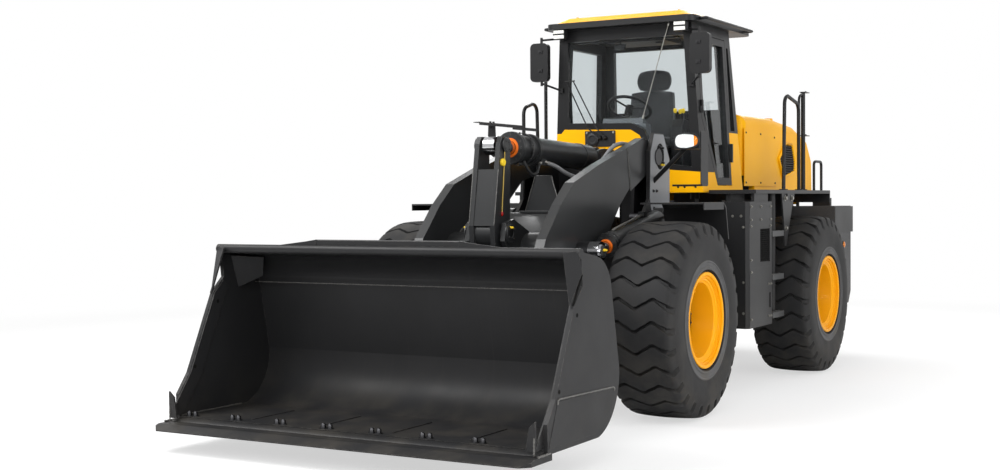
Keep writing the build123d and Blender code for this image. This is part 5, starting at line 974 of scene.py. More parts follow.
def boom():
    box = Piece()
    inner = ARM_Y - ARM_HALF
    # Sloping cover between the arms, and the plate that stands on it
    cover = [
        at(x, 0, z).xz
        for x, z in ((0.62, 1.47), (0.36, 1.62), (0.02, 1.655), (0.02, 1.635), (0.35, 1.6), (0.61, 1.45))
    ]
    box.plate(cover, 1, -inner, inner)
    stand = (at(0.03, -0.17, 1.655), at(0.03, 0.17, 1.655), at(0.03, 0.075, 1.965), at(0.03, -0.075, 1.965))
    panel(box, stand, 0.02, (1, 0, 0))
    box.block(at(0.0, -0.2, 1.65), at(0.12, 0.2, 1.668))
    box.make("boom_cover", BOOM_PAINT, "boom_arm", bevel=0.003, slot="black_paint")

    trim = Piece()
    for side in (1, -1):
        outside = side * (ARM_Y + ARM_HALF)
        # Doubling plate round the hub, cut off at a slant
        hub = [
            at(x, 0, z).xz
            for x, z in ((-0.79, 2.285), (-0.6, 2.262), (-0.36, 2.2), (-0.42, 1.83), (-0.78, 1.985))
        ]
        trim.plate(hub, 1, outside, outside + side * 0.008)
    trim.make("boom_doublers", BOOM_PAINT, "boom_arm", bevel=0.002, slot="black_paint")

    welds = Piece()
    for side in (1, -1):
        outside = side * (ARM_Y + ARM_HALF + 0.002)
        bead(welds, [at(-0.36, outside, 2.2), at(-0.42, outside, 1.835)], 0.005, 41 + side)
        within = side * (inner - 0.003)
        bead(
            welds, [at(0.62, within, 1.474), at(0.36, within, 1.624), at(0.02, within, 1.659)],
            0.006, 43 + side
        )
        bead(welds, [at(0.052, side * 0.17, 1.67), at(0.052, side * 0.076, 1.962)], 0.0045, 45 + side)
    welds.make("boom_welds", WELD_WEAR_AND_HIGHLIGHT, "boom_arm", slot="black_paint")

    caps = Piece()
    for side in (1, -1):
        pin_cap(caps, at(0.95, side * 0.182, 1.5), side, 0.085, 0.008)
    caps.make("boom_pin_caps", BOOM_PAINT, "boom_arm", bevel=0.001, slot="black_paint")
    nipples = Piece()
    for side in (1, -1):
        nipples.nipple(at(0.975, side * 0.196, 1.545), (0, side, 0), 0.011)
    nipples.make("boom_nipples", YELLOW_CAP, "boom_arm", slot="plastic")


# ---------------------------------------------------------------- cylinders
DUMP_BACK = Vector((-0.9, 0, 2.13))
DUMP_EYE = Vector((0.9, 0, 2.19))
DUMP_ROD_SHOWN = 0.280
DUMP_GLAND = 0.330
GLAND_RADIUS = 0.132
DUMP_PORT = (0.2, 0.06, 2.078)
PORT_BACKWARD = (-0.8, 0.45, -0.2)
PORT_FORWARD = (0.85, 0.3, -0.25)
LIFT_BACK = Vector((-0.72, 0, 1.6))
LIFT_EYE = Vector((0.56, 0, 1.35))
LIFT_ROD_SHOWN = 0.190
LIFT_Y = 0.740


def gland_rings(piece, mouth, aim, radius, rod, long):
    """Grooved gland nut with a face of bolts towards the rod."""
    for start, end in ((0.02, 0.04), (long * 0.5, long * 0.5 + 0.03), (long - 0.03, long)):
        piece.lathe(
            [
                (-end, radius * 0.98), (-end + 0.003, radius * 1.02), (-start - 0.003, radius * 1.02),
                (-start, radius * 0.98)
            ],
            mouth, aim, 48,
        )
    piece.lathe(
        [
            (-0.004, radius * 0.96), (0.002, radius * 0.95), (0.002, rod * 1.45), (0.005, rod * 1.4),
            (0.005, rod * 1.06), (-0.004, rod * 1.06)
        ],
        mouth, aim, 48, closed=True,
    )
    ring_of_bolts(piece, mouth - aim * 0.005, aim, radius * 0.8, 12, radius * 0.14)


def cylinders():
    aim = (DUMP_EYE - DUMP_BACK).normalized()
    long = (DUMP_EYE - DUMP_BACK).length
    mouth = at(*(DUMP_BACK + aim * (long - DUMP_ROD_SHOWN)))
    gland = Piece()
    gland_rings(gland, mouth, aim, GLAND_RADIUS, 0.055, DUMP_GLAND)
    ring_of_bolts(gland, mouth - aim * (DUMP_GLAND * 0.5 - 0.002), aim, GLAND_RADIUS, 14, 0.016)
    # Port block, its two elbows' bosses and the strap that holds the pipe
    port = at(*DUMP_PORT)
    gland.block(port + Vector((-0.05, -0.03, -0.03)), port + Vector((0.05, 0.03, 0.03)))
    gland.lathe(
        [(0, 0.1135), (0, 0.1175), (0.05, 0.1175), (0.05, 0.1135)],
        at(-0.62, 0, 2.1393), aim, 40, closed=True
    )
    gland.make("dump_gland_nut", BOOM_PAINT, "dump_cylinder", bevel=0.001, slot="black_paint")
    wiper = Piece()
    wiper.lathe(
        [(0.0, 0.0575), (0.0, 0.08), (0.007, 0.077), (0.007, 0.0575)],
        mouth + aim * 0.003, aim, 40, closed=True
    )
    wiper.make("dump_wiper_ring", ORANGE, "dump_cylinder", bevel=0.001, slot="plastic")
    fittings = Piece()
    for turn in (PORT_BACKWARD, PORT_FORWARD):
        way = Vector(turn).normalized()
        start = port + way * 0.026
        fittings.lathe(
            [(0, 0), (0, 0.021), (0.02, 0.021), (0.02, 0.016), (0.034, 0.016), (0.034, 0)], start, way, 6
        )
        fittings.lathe(
            [(0.03, 0), (0.03, 0.0165), (0.056, 0.0185), (0.062, 0.015), (0.062, 0)], start, way, 20
        )
    fittings.make("dump_fittings", STEEL, "dump_cylinder", bevel=0.0008, slot="steel")

    for side_name, side in SIDES:
        aim = (LIFT_EYE - LIFT_BACK).normalized()
        long = (LIFT_EYE - LIFT_BACK).length
        mouth = at(*(LIFT_BACK + aim * (long - LIFT_ROD_SHOWN))) + Vector((0, side * LIFT_Y, 0))
        nut = Piece()
        gland_rings(nut, mouth, aim, 0.098, 0.045, 0.12)
        ring_of_bolts(nut, mouth - aim * 0.05, aim, 0.1, 12, 0.016)
        nut.block(at(-0.38, side * 0.74 - 0.025, 1.615), at(-0.3, side * 0.74 + 0.025, 1.655))
        nut.make(
            f"lift_gland_nut_{side_name}", BOOM_PAINT, "lift_barrel_pair", bevel=0.001, slot="black_paint"
        )
        wiper = Piece()
        wiper.lathe(
            [(0.0, 0.0465), (0.0, 0.06), (0.016, 0.056), (0.016, 0.0465)],
            mouth + aim * 0.012, aim, 32, closed=True
        )
        wiper.make(f"lift_wiper_ring_{side_name}", ORANGE, "lift_barrel_pair", bevel=0.001, slot="plastic")
        pipe = Piece()
        over = Vector((0, 0, 0.1))
        run = [
            mouth - aim * 0.10 + over, mouth - aim * 0.16 + over * 1.05, mouth - aim * 0.7 + over * 1.05,
            mouth - aim * 0.76 + over * 0.9
        ]
        pipe.tube(rounded_line(run, 0.04), 0.011, 10)
        pipe.make(f"lift_pipe_{side_name}", STEEL, "lift_barrel_pair", slot="steel")
        cap = Piece()
        pin_cap(cap, at(0.56, side * 0.797, 1.35), side, 0.05, 0.007)
        cap.nipple(at(0.56, side * 0.808, 1.35), (0, side, 0), 0.009)
        cap.make(f"lift_pin_cap_{side_name}", BOOM_PAINT, "lift_rod_pair", bevel=0.001, slot="black_paint")
        nipple = Piece()
        nipple.nipple(at(0.575, side * 0.808, 1.362), (0, side, 0), 0.012)
        nipple.make(f"lift_nipple_{side_name}", YELLOW_CAP, "lift_rod_pair", slot="plastic")


# ---------------------------------------------------------------- hoses
def hose(name, points, diameter, finish, body, other=None, steps=12):
    """Hose on a smooth line with those control points. Where another body is given, it is left on no body,
    its placement baked into the mesh.
    """
    curve = bpy.data.curves.new(name, "CURVE")
    curve.dimensions = "3D"
    spline = curve.splines.new("NURBS")
    spline.points.add(len(points) - 1)
    for point, place in zip(spline.points, points):
        point.co = (*place, 1.0)
    spline.order_u = 3
    spline.use_endpoint_u = True
    curve.resolution_u = 10
    carrier = bpy.data.objects.new(name + "_line", curve)
    bpy.context.scene.collection.objects.link(carrier)
    bpy.context.view_layer.update()
    followed = bpy.data.meshes.new_from_object(carrier)
    path = [Vector(v.co) for v in followed.vertices]
    bpy.data.objects.remove(carrier)
    bpy.data.meshes.remove(followed)
    piece = Piece()
    piece.tube(path, diameter / 2, steps)
    if other:
        made = piece.make(name, finish, None, slot="plastic")
        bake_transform(made)
    else:
        made = piece.make(name, finish, body, slot="plastic")
    return made


def hoses():
    """Hoses of the dump cylinder, with the fitting at the tower."""
    run = (
        (0.149, 0.089, 2.065), (0.08, 0.128, 2.047), (0.01, 0.17, 1.995), (-0.07, 0.225, 1.95),
        (-0.16, 0.28, 1.945), (-0.26, 0.33, 2.0), (-0.36, 0.37, 2.11), (-0.46, 0.4, 2.21),
        (-0.57, 0.425, 2.245), (-0.68, 0.438, 2.24), (-0.775, 0.44, 2.235),
    )
    hose(
        "dump_hose", [at(*p) for p in run], 0.036, HOSE, "dump_cylinder", "front_body",
    )
    run = (
        (0.2545, 0.079, 2.062), (0.31, 0.098, 2.045), (0.355, 0.11, 1.99), (0.42, 0.12, 1.96),
        (0.49, 0.118, 1.97), (0.545, 0.105, 2.03), (0.556, 0.09, 2.072),
    )
    hose("dump_front_hose", [at(*p) for p in run], 0.026, BLACK_HOSE, "dump_cylinder")
    ends = Piece()
    way = Vector((1, -0.1, 0)).normalized()
    foot = at(-0.82, 0.436, 2.235)
    ends.lathe([(0, 0), (0, 0.024), (0.03, 0.024), (0.03, 0.019), (0.07, 0.0195), (0.076, 0)], foot, way, 6)
    ends.lathe([(0.02, 0), (0.02, 0.0205), (0.08, 0.0205), (0.085, 0.018), (0.085, 0)], foot, way, 24)
    ends.block(at(-0.9, 0.41, 2.21), at(-0.81, 0.46, 2.262))
    ends.make("tower_fitting", STEEL, "front_body", bevel=0.001, slot="steel")


# ---------------------------------------------------------------- tower and lamps
TOWER_FACE_Y = 0.640


def tower():
    skin, marks, shade_ovals, bolts = Piece(), Piece(), Piece(), Piece()
    for side in (1, -1):
        face = side * TOWER_FACE_Y
        # Light grey plate over the dark side face: painted reflection
        outline = (
            (-1.155, 1.62), (-1.155, 2.115), (-1.022, 2.33), (-0.816, 2.33), (-0.74, 2.172), (-0.72, 1.765),
            (-0.76, 1.62)
        )
        skin.plate([at(x, 0, z).xz for x, z in outline], 1, face, face + side * 0.003)
        # Flat matt black oval round the pin's end: painted shade of the opening
        oval = [(-0.945 + 0.085 * math.cos(a), 2.135 + 0.115 * math.sin(a)) for a in turns(32)]
        shade_ovals.plate([at(x, 0, z).xz for x, z in oval], 1, face + side * 0.003, face + side * 0.0045)
        for x, z in ((-0.985, 2.21), (-0.92, 2.22), (-0.995, 2.08), (-0.93, 2.045)):
            bolts.bolt(at(x, face + side * 0.0045, z), (0, side, 0), 0.022, 0.016)
        marks.nipple(at(-0.965, face + side * 0.006, 2.06), (0, side, 0), 0.012)
        for x, z in ((-0.86, 1.83), (-0.79, 1.83), (-1.1, 1.68), (-0.8, 1.68)):
            bolts.bolt(at(x, face + side * 0.003, z), (0, side, 0), 0.02, 0.012)
    skin.make("tower_faces_painted_reflection", TOWER_REFLECTION_GREY, "front_body", bevel=0.001, slot="black_paint")
    shade_ovals.make("tower_openings_painted_shade", MATT_BLACK, "front_body", slot="black_paint")
    marks.make("tower_nipples", YELLOW_CAP, "front_body", slot="plastic")
    bolts.make("tower_bolts", DARK_STEEL, "front_body", slot="steel")


LAMP_POINTS = 40
LAMP_BRACKET_Y = 1.112


def lamp_outline(side, inner, outer, middle_z, half_z, grow):
    """Rounded outline that a lamp's rim, reflector and lens share, drawn in towards the outer end."""
    points = []
    for k in range(LAMP_POINTS):
        a = 2 * math.pi * k / LAMP_POINTS
        c, s = math.cos(a), math.sin(a)
        u = math.copysign(abs(c) ** 0.55, c)
        v = math.copysign(abs(s) ** 0.7, s) * (1 - 0.22 * max(u, 0))
        middle = (inner + outer) / 2
        points.append((side * (middle + u * ((outer - inner) / 2 + grow)), middle_z + v * (half_z + grow)))
    return points


def ring_loops(rings, count):
    """Faces between rings of points that follow each other."""
    loops = []
    for low in range(0, (rings - 1) * count, count):
        for k in range(count):
            n = (k + 1) % count
            loops.append((low + k, low + n, low + count + n, low + count + k))
    return loops


def headlamps():
    """Rim, reflector with its bowls, signal, lens and bracket of each headlamp."""
    low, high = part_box("headlamps")
    lens_low, lens_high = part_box("headlamp_lenses")
    for side_name, side in SIDES:
        inner, outer = 0.884, lens_high.y + 0.004
        middle_z = (lens_low.z + lens_high.z) / 2
        half_z = 0.066
        front = lens_high.x
        lamp = (side, inner, outer, middle_z, half_z)
        rim = Piece()
        steps = ((-0.03, 0.006), (0.004, 0.006), (0.004, -0.006), (-0.02, -0.01))
        points = [(front + out, y, z) for out, grow in steps for y, z in lamp_outline(*lamp, grow)]
        rim.faces(points, ring_loops(len(steps), LAMP_POINTS))
        rim.make(f"headlamp_rim_{side_name}", PLASTIC, "front_body", slot="black_paint")
        bowl = Piece()
        # Two bowls side by side in the reflector
        for centre, radius in ((inner + 0.062, 0.056), (inner + 0.148, 0.05)):
            bowl.lathe(
                [
                    (0.0, 0.0), (0.0, 0.012), (0.002, 0.02), (0.005, radius * 0.8), (0.006, radius * 0.94),
                    (0.0055, radius)
                ],
                Vector((front - 0.0088, side * centre, middle_z)), (1, 0, 0), 32,
            )
        back = lamp_outline(*lamp, -0.007)
        bowl.faces([(front - 0.0085, y, z) for y, z in back], [range(len(back))])
        bowl.make(f"headlamp_bowl_{side_name}", REFLECTOR, "front_body", slot="lens")
        amber = Piece()
        edge = side * (outer - 0.05)
        part = [(y, z) for y, z in lamp_outline(*lamp, -0.008) if side * y >= side * edge - 0.004]
        part.sort(key=lambda p: math.atan2(p[1] - middle_z, side * p[0] - (outer - 0.05)))
        amber.plate(part, 0, front - 0.0086, front - 0.002)
        amber.make(f"headlamp_signal_{side_name}", AMBER, "front_body", slot="lens")
        glass = Piece()
        shell = lamp_outline(*lamp, -0.005)
        rise = [(front - 0.002, 1.0), (front + 0.005, 0.9), (front + 0.009, 0.6), (front + 0.010, 0.3)]
        middle = ((inner + outer) / 2 * side, middle_z)
        y0, z0 = middle
        points = [(x, y0 + (y - y0) * share, z0 + (z - z0) * share) for x, share in rise for y, z in shell]
        loops = ring_loops(len(rise), LAMP_POINTS)
        loops.append(range(3 * LAMP_POINTS, 4 * LAMP_POINTS))
        glass.faces(points, loops)
        stands_for = ("headlamp_lenses",) if side > 0 else ()
        glass.make(f"headlamp_lens_{side_name}", LENS, "front_body", slot="lens", replaces=stands_for)
        frame_piece = Piece()
        y0, y1 = sorted((side * 0.86, side * 1.135))
        frame_piece.block((low.x + 0.01, y0, low.z - 0.028), (high.x + 0.005, y1, low.z - 0.012))
        y = side * LAMP_BRACKET_Y
        frame_piece.block((low.x - 0.05, y - 0.004, low.z - 0.02), (high.x - 0.02, y + 0.004, high.z + 0.01))
        for y in (0.9, 0.96, 1.06):
            frame_piece.bolt(Vector((high.x - 0.03, side * y, low.z - 0.028)), (0, 0, -1), 0.02, 0.012)
        frame_piece.make(
            f"headlamp_bracket_{side_name}", BLACK, "front_body", bevel=0.002, slot="black_paint"
        )


rocker()
boom()
cylinders()
hoses()
tower()
headlamps()


# ---------------------------------------------------------------- cab
CAB_FLOOR = 1.82
CAB_HALF = 0.768
CAB_LEAN = 0.05605
FRONT_X, FRONT_LEAN = -1.66, 0.0382
BACK_X, BACK_LEAN = -2.74, 0.1019
CAB_WALL = 0.06
SEAT_Y = -0.08


# How far out the cab's side, front and back stand at a height
def cab_side(z, inset=0.0):
    return CAB_HALF - CAB_LEAN * (z - CAB_FLOOR) - inset


def cab_front(z, inset=0.0):
    return FRONT_X + FRONT_LEAN * (z - CAB_FLOOR) - inset


def cab_back(z, inset=0.0):
    return BACK_X + BACK_LEAN * (z - CAB_FLOOR) + inset


LINING_LEVELS = (1.888, 2.428)
MAT_Z = CAB_FLOOR + CAB_WALL + 0.001
MAT_RIBS = 22


def cab_lining():
    """Dark trim on the inner faces of the walls below the windows, and a floor mat."""
    lining = Piece()
    gap = CAB_WALL + 0.004
    low, high = LINING_LEVELS
    for side, front in ((-1, cab_front(low, 0.075)), (1, -2.462)):
        corners = [
            at(cab_back(low, gap + 0.008), side * cab_side(low, gap), low),
            at(front, side * cab_side(low, gap), low),
            at(front, side * cab_side(high, gap), high),
            at(cab_back(high, gap + 0.008), side * cab_side(high, gap), high),
        ]
        panel(lining, corners, 0.006, (0, -side, 0))
    corners = [
        at(cab_back(z, gap), y * cab_side(z, gap + 0.01), z)
        for z, y in ((low, -1), (low, 1), (high, 1), (high, -1))
    ]
    panel(lining, corners, 0.006, (1, 0, 0))
    outline = (
        (-0.69, low), (-0.685, 2.385), (-0.645, 2.41), (0.03, 2.392), (0.11, 2.345), (0.25, 2.04),
        (0.25, low)
    )
    lining.plate([at(0, y, z).yz for y, z in outline], 0, at(-1.7325, 0, 0).x, at(-1.7265, 0, 0).x)
    lining.make("cab_lining", TRIM_RUBBER, "rear_body", bevel=0.001, slot="black_paint")
    mat = Piece()
    mat.block(at(-2.66, -0.69, MAT_Z), at(-1.74, 0.69, MAT_Z + 0.005))
    for k in range(MAT_RIBS):
        y = -0.66 + 0.06 * k
        mat.block(at(-2.64, y, MAT_Z + 0.005), at(-1.76, y + 0.03, MAT_Z + 0.008))
    mat.make("cab_floor_mat", TRIM_RUBBER, "rear_body", slot="plastic")


WELT_RADIUS = 0.0045
CHANNEL_DEPTH = 0.008
CHANNEL_WIDTH = 0.04
PAD_CELLS = 28


def cushion(name, centre, across, along, half, thickness, channels=(), lip=0.5, rounding=0.3, pull=0.03):
    """Crowned closed pad with its sides drawn in, sewn channels and a welt round each face."""
    across, along = Vector(across).normalized(), Vector(along).normalized()
    normal = across.cross(along)
    cells = PAD_CELLS
    places = [-math.cos(math.pi * k / cells) for k in range(cells + 1)]
    piece = Piece()
    centre = Vector(centre)

    def spot(u, v, rise):
        x = half[0] * u * math.sqrt(1 - rounding * v * v / 2) * (1 - pull * (1 - v * v))
        y = half[1] * v * math.sqrt(1 - rounding * u * u / 2) * (1 - pull * (1 - u * u))
        return centre + across * x + along * y + normal * rise

    points = []
    for face in (1, -1):
        for v in places:
            for u in places:
                full = max(0.0, (1 - u ** 4) * (1 - v ** 4)) ** 0.4
                rise = thickness / 2 * (lip + (1 - lip) * full)
                for kind, line in channels:
                    off = (u if kind == "u" else v) - line
                    rise -= CHANNEL_DEPTH * full * math.exp(-(off / CHANNEL_WIDTH) ** 2)
                points.append(spot(u, v, face * rise))
    side = cells + 1
    layer = side * side
    loops = []
    for face in (0, 1):
        for r in range(cells):
            for c in range(cells):
                a = face * layer + r * side + c
                loops.append((a, a + 1, a + side + 1, a + side))
    rim = [c for c in range(cells)] + [r * side + cells for r in range(cells)]
    rim += [cells * side + c for c in range(cells, 0, -1)] + [r * side for r in range(cells, 0, -1)]
    loops += [(a, b, b + layer, a + layer) for a, b in zip(rim, rim[1:] + rim[:1])]
    piece.faces(points, loops)
    for start in (0, layer):
        ring = [points[start + i] for i in rim]
        piece.tube(ring[::2] + ring[:1], WELT_RADIUS, 6)
    made = piece.make(name, CLOTH, "rear_body", angle=math.radians(60), slot="plastic")
    return made


BELLOWS_FOLDS = 7
BELLOWS_FOOT = 1.892
BELLOWS_PITCH = 0.048
CONSOLE_Y = (0.24, 0.37)


def seat():
    """Padded seat on its bellows, with a console beside it."""
    base = Piece()
    for k in range(BELLOWS_FOLDS):
        grow = 0.0 if k % 2 else 0.014
        z = BELLOWS_FOOT + k * BELLOWS_PITCH
        base.block(
            at(-2.48 - grow, SEAT_Y - 0.16 - grow, z), at(-2.18 + grow, SEAT_Y + 0.16 + grow, z + 0.05)
        )
    base.block(at(-2.5, SEAT_Y - 0.22, 2.225), at(-2.08, SEAT_Y + 0.22, 2.262))
    base.make("seat_bellows", MATT_BLACK, "rear_body", bevel=0.006, slot="plastic", replaces=("seat",))
    cushion(
        "seat_cushion", at(-2.285, SEAT_Y, 2.318), (0, 1, 0), (-1, 0, 0.03), (0.255, 0.235), 0.125,
        (("u", -0.55), ("u", 0.55), ("v", 0.1)),
    )
    cushion(
        "seat_back", at(-2.455, SEAT_Y, 2.585), (0, 1, 0), (-0.085, 0, 1), (0.236, 0.26), 0.11,
        (("u", -0.62), ("u", 0.62), ("v", 0.25), ("v", -0.3)), rounding=0.35,
    )
    cushion(
        "seat_headrest", at(-2.487, SEAT_Y + 0.01, 2.945), (0, 1, 0), (-0.05, 0, 1),
        (0.18, 0.106), 0.1, rounding=0.75, lip=0.35
    )
    frame = Piece()
    for side in (1, -1):
        frame.tube([at(-2.478, SEAT_Y + side * 0.06, 2.8), at(-2.484, SEAT_Y + side * 0.06, 2.88)], 0.008, 10)
    frame.tube(
        rounded_line(
            [at(-2.5, SEAT_Y + 0.25, 2.3), at(-2.42, SEAT_Y + 0.25, 2.3), at(-2.47, SEAT_Y + 0.25, 2.5)],
            0.04
        ),
        0.012, 10
    )
    frame.make("seat_frame", DARK_STEEL, "rear_body", slot="steel")
    console = Piece()
    outline = ((-2.44, 1.892), (-2.16, 1.892), (-2.14, 2.46), (-2.2, 2.54), (-2.44, 2.5))
    console.plate([at(x, 0, z).xz for x, z in outline], 1, *CONSOLE_Y)
    console.make("side_console", PLASTIC, "rear_body", bevel=0.012, segments=3, slot="plastic")
    levers = Piece()
    knobs = Piece()
    for x, y in ((-2.2, 0.275), (-2.26, 0.335), (-2.33, 0.275)):
        levers.tube([at(x, y, 2.5), at(x + 0.008, y, 2.6)], 0.006, 8)
        levers.lathe(
            [(0, 0), (0, 0.024), (0.012, 0.02), (0.024, 0.01), (0.024, 0)], at(x, y, 2.51), (0, 0, 1), 16
        )
        knobs.lathe(
            [(0, 0), (0, 0.009), (0.014, 0.017), (0.034, 0.019), (0.046, 0.012), (0.049, 0)],
            at(x + 0.008, y, 2.596), (0.08, 0, 1), 16,
        )
    levers.make("lever_stems", DARK_STEEL, "rear_body", slot="steel")
    knobs.make("lever_knobs", YELLOW_CAP, "rear_body", slot="plastic")


def windscreen_fittings():
    """Wiper motor cover, two wiper arms with their blade, and the slim rod before the glass."""
    cover = Piece()
    corners = [
        at(cab_front(z, -0.001), y, z)
        for y, z in ((-0.43, 2.265), (-0.11, 2.265), (-0.11, 2.418), (-0.43, 2.418))
    ]
    panel(cover, corners, 0.009, (1, 0, 0))
    cover.lathe(
        [(0.0, 0.0), (0.0, 0.066), (0.014, 0.062), (0.02, 0.05), (0.02, 0.036), (0.014, 0.032), (0.014, 0.0)],
        at(cab_front(2.335, -0.009), -0.345, 2.335), (1, 0, 0), 40,
    )
    cover.make("wiper_cover", PANEL, "rear_body", bevel=0.002, slot="black_paint")
    screws = Piece()
    for y in (-0.41, -0.13):
        for z in (2.283, 2.4):
            screws.bolt(at(cab_front(z, -0.009), y, z), (1, 0, 0), 0.014, 0.008)
    screws.make("wiper_cover_screws", STEEL, "rear_body", slot="steel")
    arms = Piece()
    for y, bend, top in ((-0.265, -0.376, -0.605), (-0.215, -0.285, -0.53)):
        foot = at(cab_front(2.35, -0.012), y, 2.352)
        arms.lathe([(0, 0), (0, 0.024), (0.02, 0.022), (0.034, 0.012), (0.034, 0)], foot, (1, 0, 0), 20)
        arms.tube(
            rounded_line(
                [
                    foot + Vector((0.026, 0, 0)), at(cab_front(2.44, -0.05), bend, 2.442),
                    at(cab_front(2.9, -0.032), top, 2.9)
                ],
                0.03
            ),
            0.0065, 8,
        )
    arms.tube([at(cab_front(2.9, -0.032), -0.62, 2.9), at(cab_front(2.9, -0.032), -0.515, 2.905)], 0.006, 8)
    low, high = at(cab_front(2.56, -0.016), -0.6, 2.56), at(cab_front(3.08, -0.016), -0.575, 3.08)
    arms.tube([low, high], 0.008, 8)
    arms.make("wiper_arms", BLACK, "rear_body", slot="black_paint")
    blade = Piece()
    out, back = Vector((-0.013, -0.002, 0)), Vector((0, -0.002, 0))
    corners = [low + out, high + out, high + back, low + back]
    panel(blade, corners, 0.004, (0, 1, 0))
    blade.make("wiper_blade", TRIM_RUBBER, "rear_body", slot="plastic")
    rod = Piece()
    rod.tube([at(cab_front(3.384, -0.016), 0.46, 3.384), at(cab_front(2.53, -0.02), 0.185, 2.53)], 0.0045, 8)
    for y, z in ((0.459, 3.38), (0.185, 2.53)):
        rod.lathe(
            [(-0.012, 0), (-0.012, 0.01), (0.02, 0.01), (0.024, 0.007), (0.024, 0)],
            at(cab_front(z, -0.016), y, z), (0, 0.3, 0.95), 10
        )
    rod.make("windscreen_rod", STEEL, "rear_body", slot="steel")


def cab_ceiling():
    """Ceiling unit, sun shade roll and the small inner mirror behind the windscreen."""
    unit = Piece()
    unit.block(at(-2.2, -0.3, 3.262), at(-1.74, 0.34, 3.325))
    unit.block(at(-1.78, -0.56, 3.27), at(-1.715, 0.5, 3.318))
    for y in (-0.2, 0.24):
        unit.lathe(
            [(0, 0), (0, 0.045), (0.008, 0.042), (0.012, 0.03), (0.012, 0)],
            at(-1.9, y, 3.262), (0, 0, -1), 24
        )
    unit.make("ceiling_unit", PLASTIC, "rear_body", bevel=0.01, segments=3, slot="plastic")
    inner = Piece()
    inner.block(at(-1.745, -0.155, 3.185), at(-1.725, -0.045, 3.245))
    inner.tube([at(-1.735, -0.1, 3.24), at(-1.74, -0.1, 3.275)], 0.006, 8)
    inner.make("inner_mirror", PLASTIC, "rear_body", bevel=0.008, segments=3, slot="plastic")
    gauge = Piece()
    shell = ((-1.9, 2.49), (-1.885, 2.5), (-1.76, 2.548), (-1.745, 2.536))
    gauge.plate([at(x, 0, z).xz for x, z in shell], 1, SEAT_Y - 0.17, SEAT_Y + 0.17)
    gauge.make("dash_screen", PLASTIC, "rear_body", bevel=0.003, slot="plastic")


EAR = ((-0.03, -0.03), (0.03, -0.03), (0.018, 0.03), (-0.018, 0.03))


def roof_fittings():
    """Work lamps under the roof's front edge, and lifting tabs with a ring on each."""
    low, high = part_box("roof_lamps")
    inner = min(v.co.y for v in NODES["roof_lamps"].data.vertices if v.co.y > 0)
    housing, lens = Piece(), Piece()
    middle = (low.z + high.z) / 2
    for side in (1, -1):
        a, b = sorted((side * inner, side * high.y))
        housing.block((low.x, a, low.z), (high.x - 0.012, b, high.z - 0.002))
        housing.block((high.x - 0.014, a, middle - 0.006), (high.x, b, middle + 0.006))
        for z0, z1 in ((low.z + 0.004, middle - 0.007), (middle + 0.007, high.z - 0.006)):
            lens.block((high.x - 0.013, a + 0.005, z0), (high.x - 0.002, b - 0.005, z1))
    housing.make(
        "roof_lamp_housings", PLASTIC, "rear_body", bevel=0.004, slot="black_paint",
        replaces=("roof_lamps",)
    )
    lens.make("roof_lamp_lenses", LAMP_WHITE, "rear_body", bevel=0.004, slot="lens")
    cap_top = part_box("roof_cap")[1].z
    tabs = Piece()
    for x in (-1.75, -2.75):
        for y in (-0.56, 0.5):
            ear = [at(x + u, 0, cap_top + v).xz for u, v in EAR]
            tabs.plate(ear, 1, y - 0.005, y + 0.005)
            tabs.lathe(
                [(-0.007, 0.006), (-0.007, 0.014), (0.007, 0.014), (0.007, 0.006)],
                at(x, y, cap_top + 0.008), (0, 1, 0), 16, closed=True
            )
    tabs.make("roof_lifting_tabs", YELLOW, "rear_body", bevel=0.001, slot="yellow_paint")


def mirror_faces():
    """Mirror glass on the heads' backs and clamps on their posts."""
    glass, clamps = Piece(), Piece()
    for side in (1, -1):
        a, b = sorted((side * 0.742, side * 0.908))
        back = at(-1.497, 0, 0).x
        outline = [
            (a + 0.03, 2.925), (b - 0.03, 2.925), (b, 2.955), (b, 3.215), (b - 0.03, 3.245),
            (a + 0.03, 3.245), (a, 3.215), (a, 2.955)
        ]
        glass.plate(outline, 0, back, back + 0.004)
        for z in (2.99, 3.17):
            clamps.block(at(-1.44, side * 0.81 - 0.022, z), at(-1.425, side * 0.81 + 0.022, z + 0.03))
            clamps.bolt(at(-1.425, side * 0.81, z + 0.015), (1, 0, 0), 0.016, 0.008)
    glass.make("mirror_glasses", MIRROR, "rear_body", slot="glass")
    clamps.make("mirror_clamps", PLASTIC, "rear_body", bevel=0.002, slot="black_paint")


# ---------------------------------------------------------------- hood, decks and rear
HOOD_SIDE_Y = 0.75
HEXAGON = ((-4.116, 2.35), (-4.34, 2.343), (-4.43, 2.152), (-4.41, 2.05), (-4.03, 1.978), (-3.888, 2.18))
PANEL_OUT = 0.007
SLATS = 15


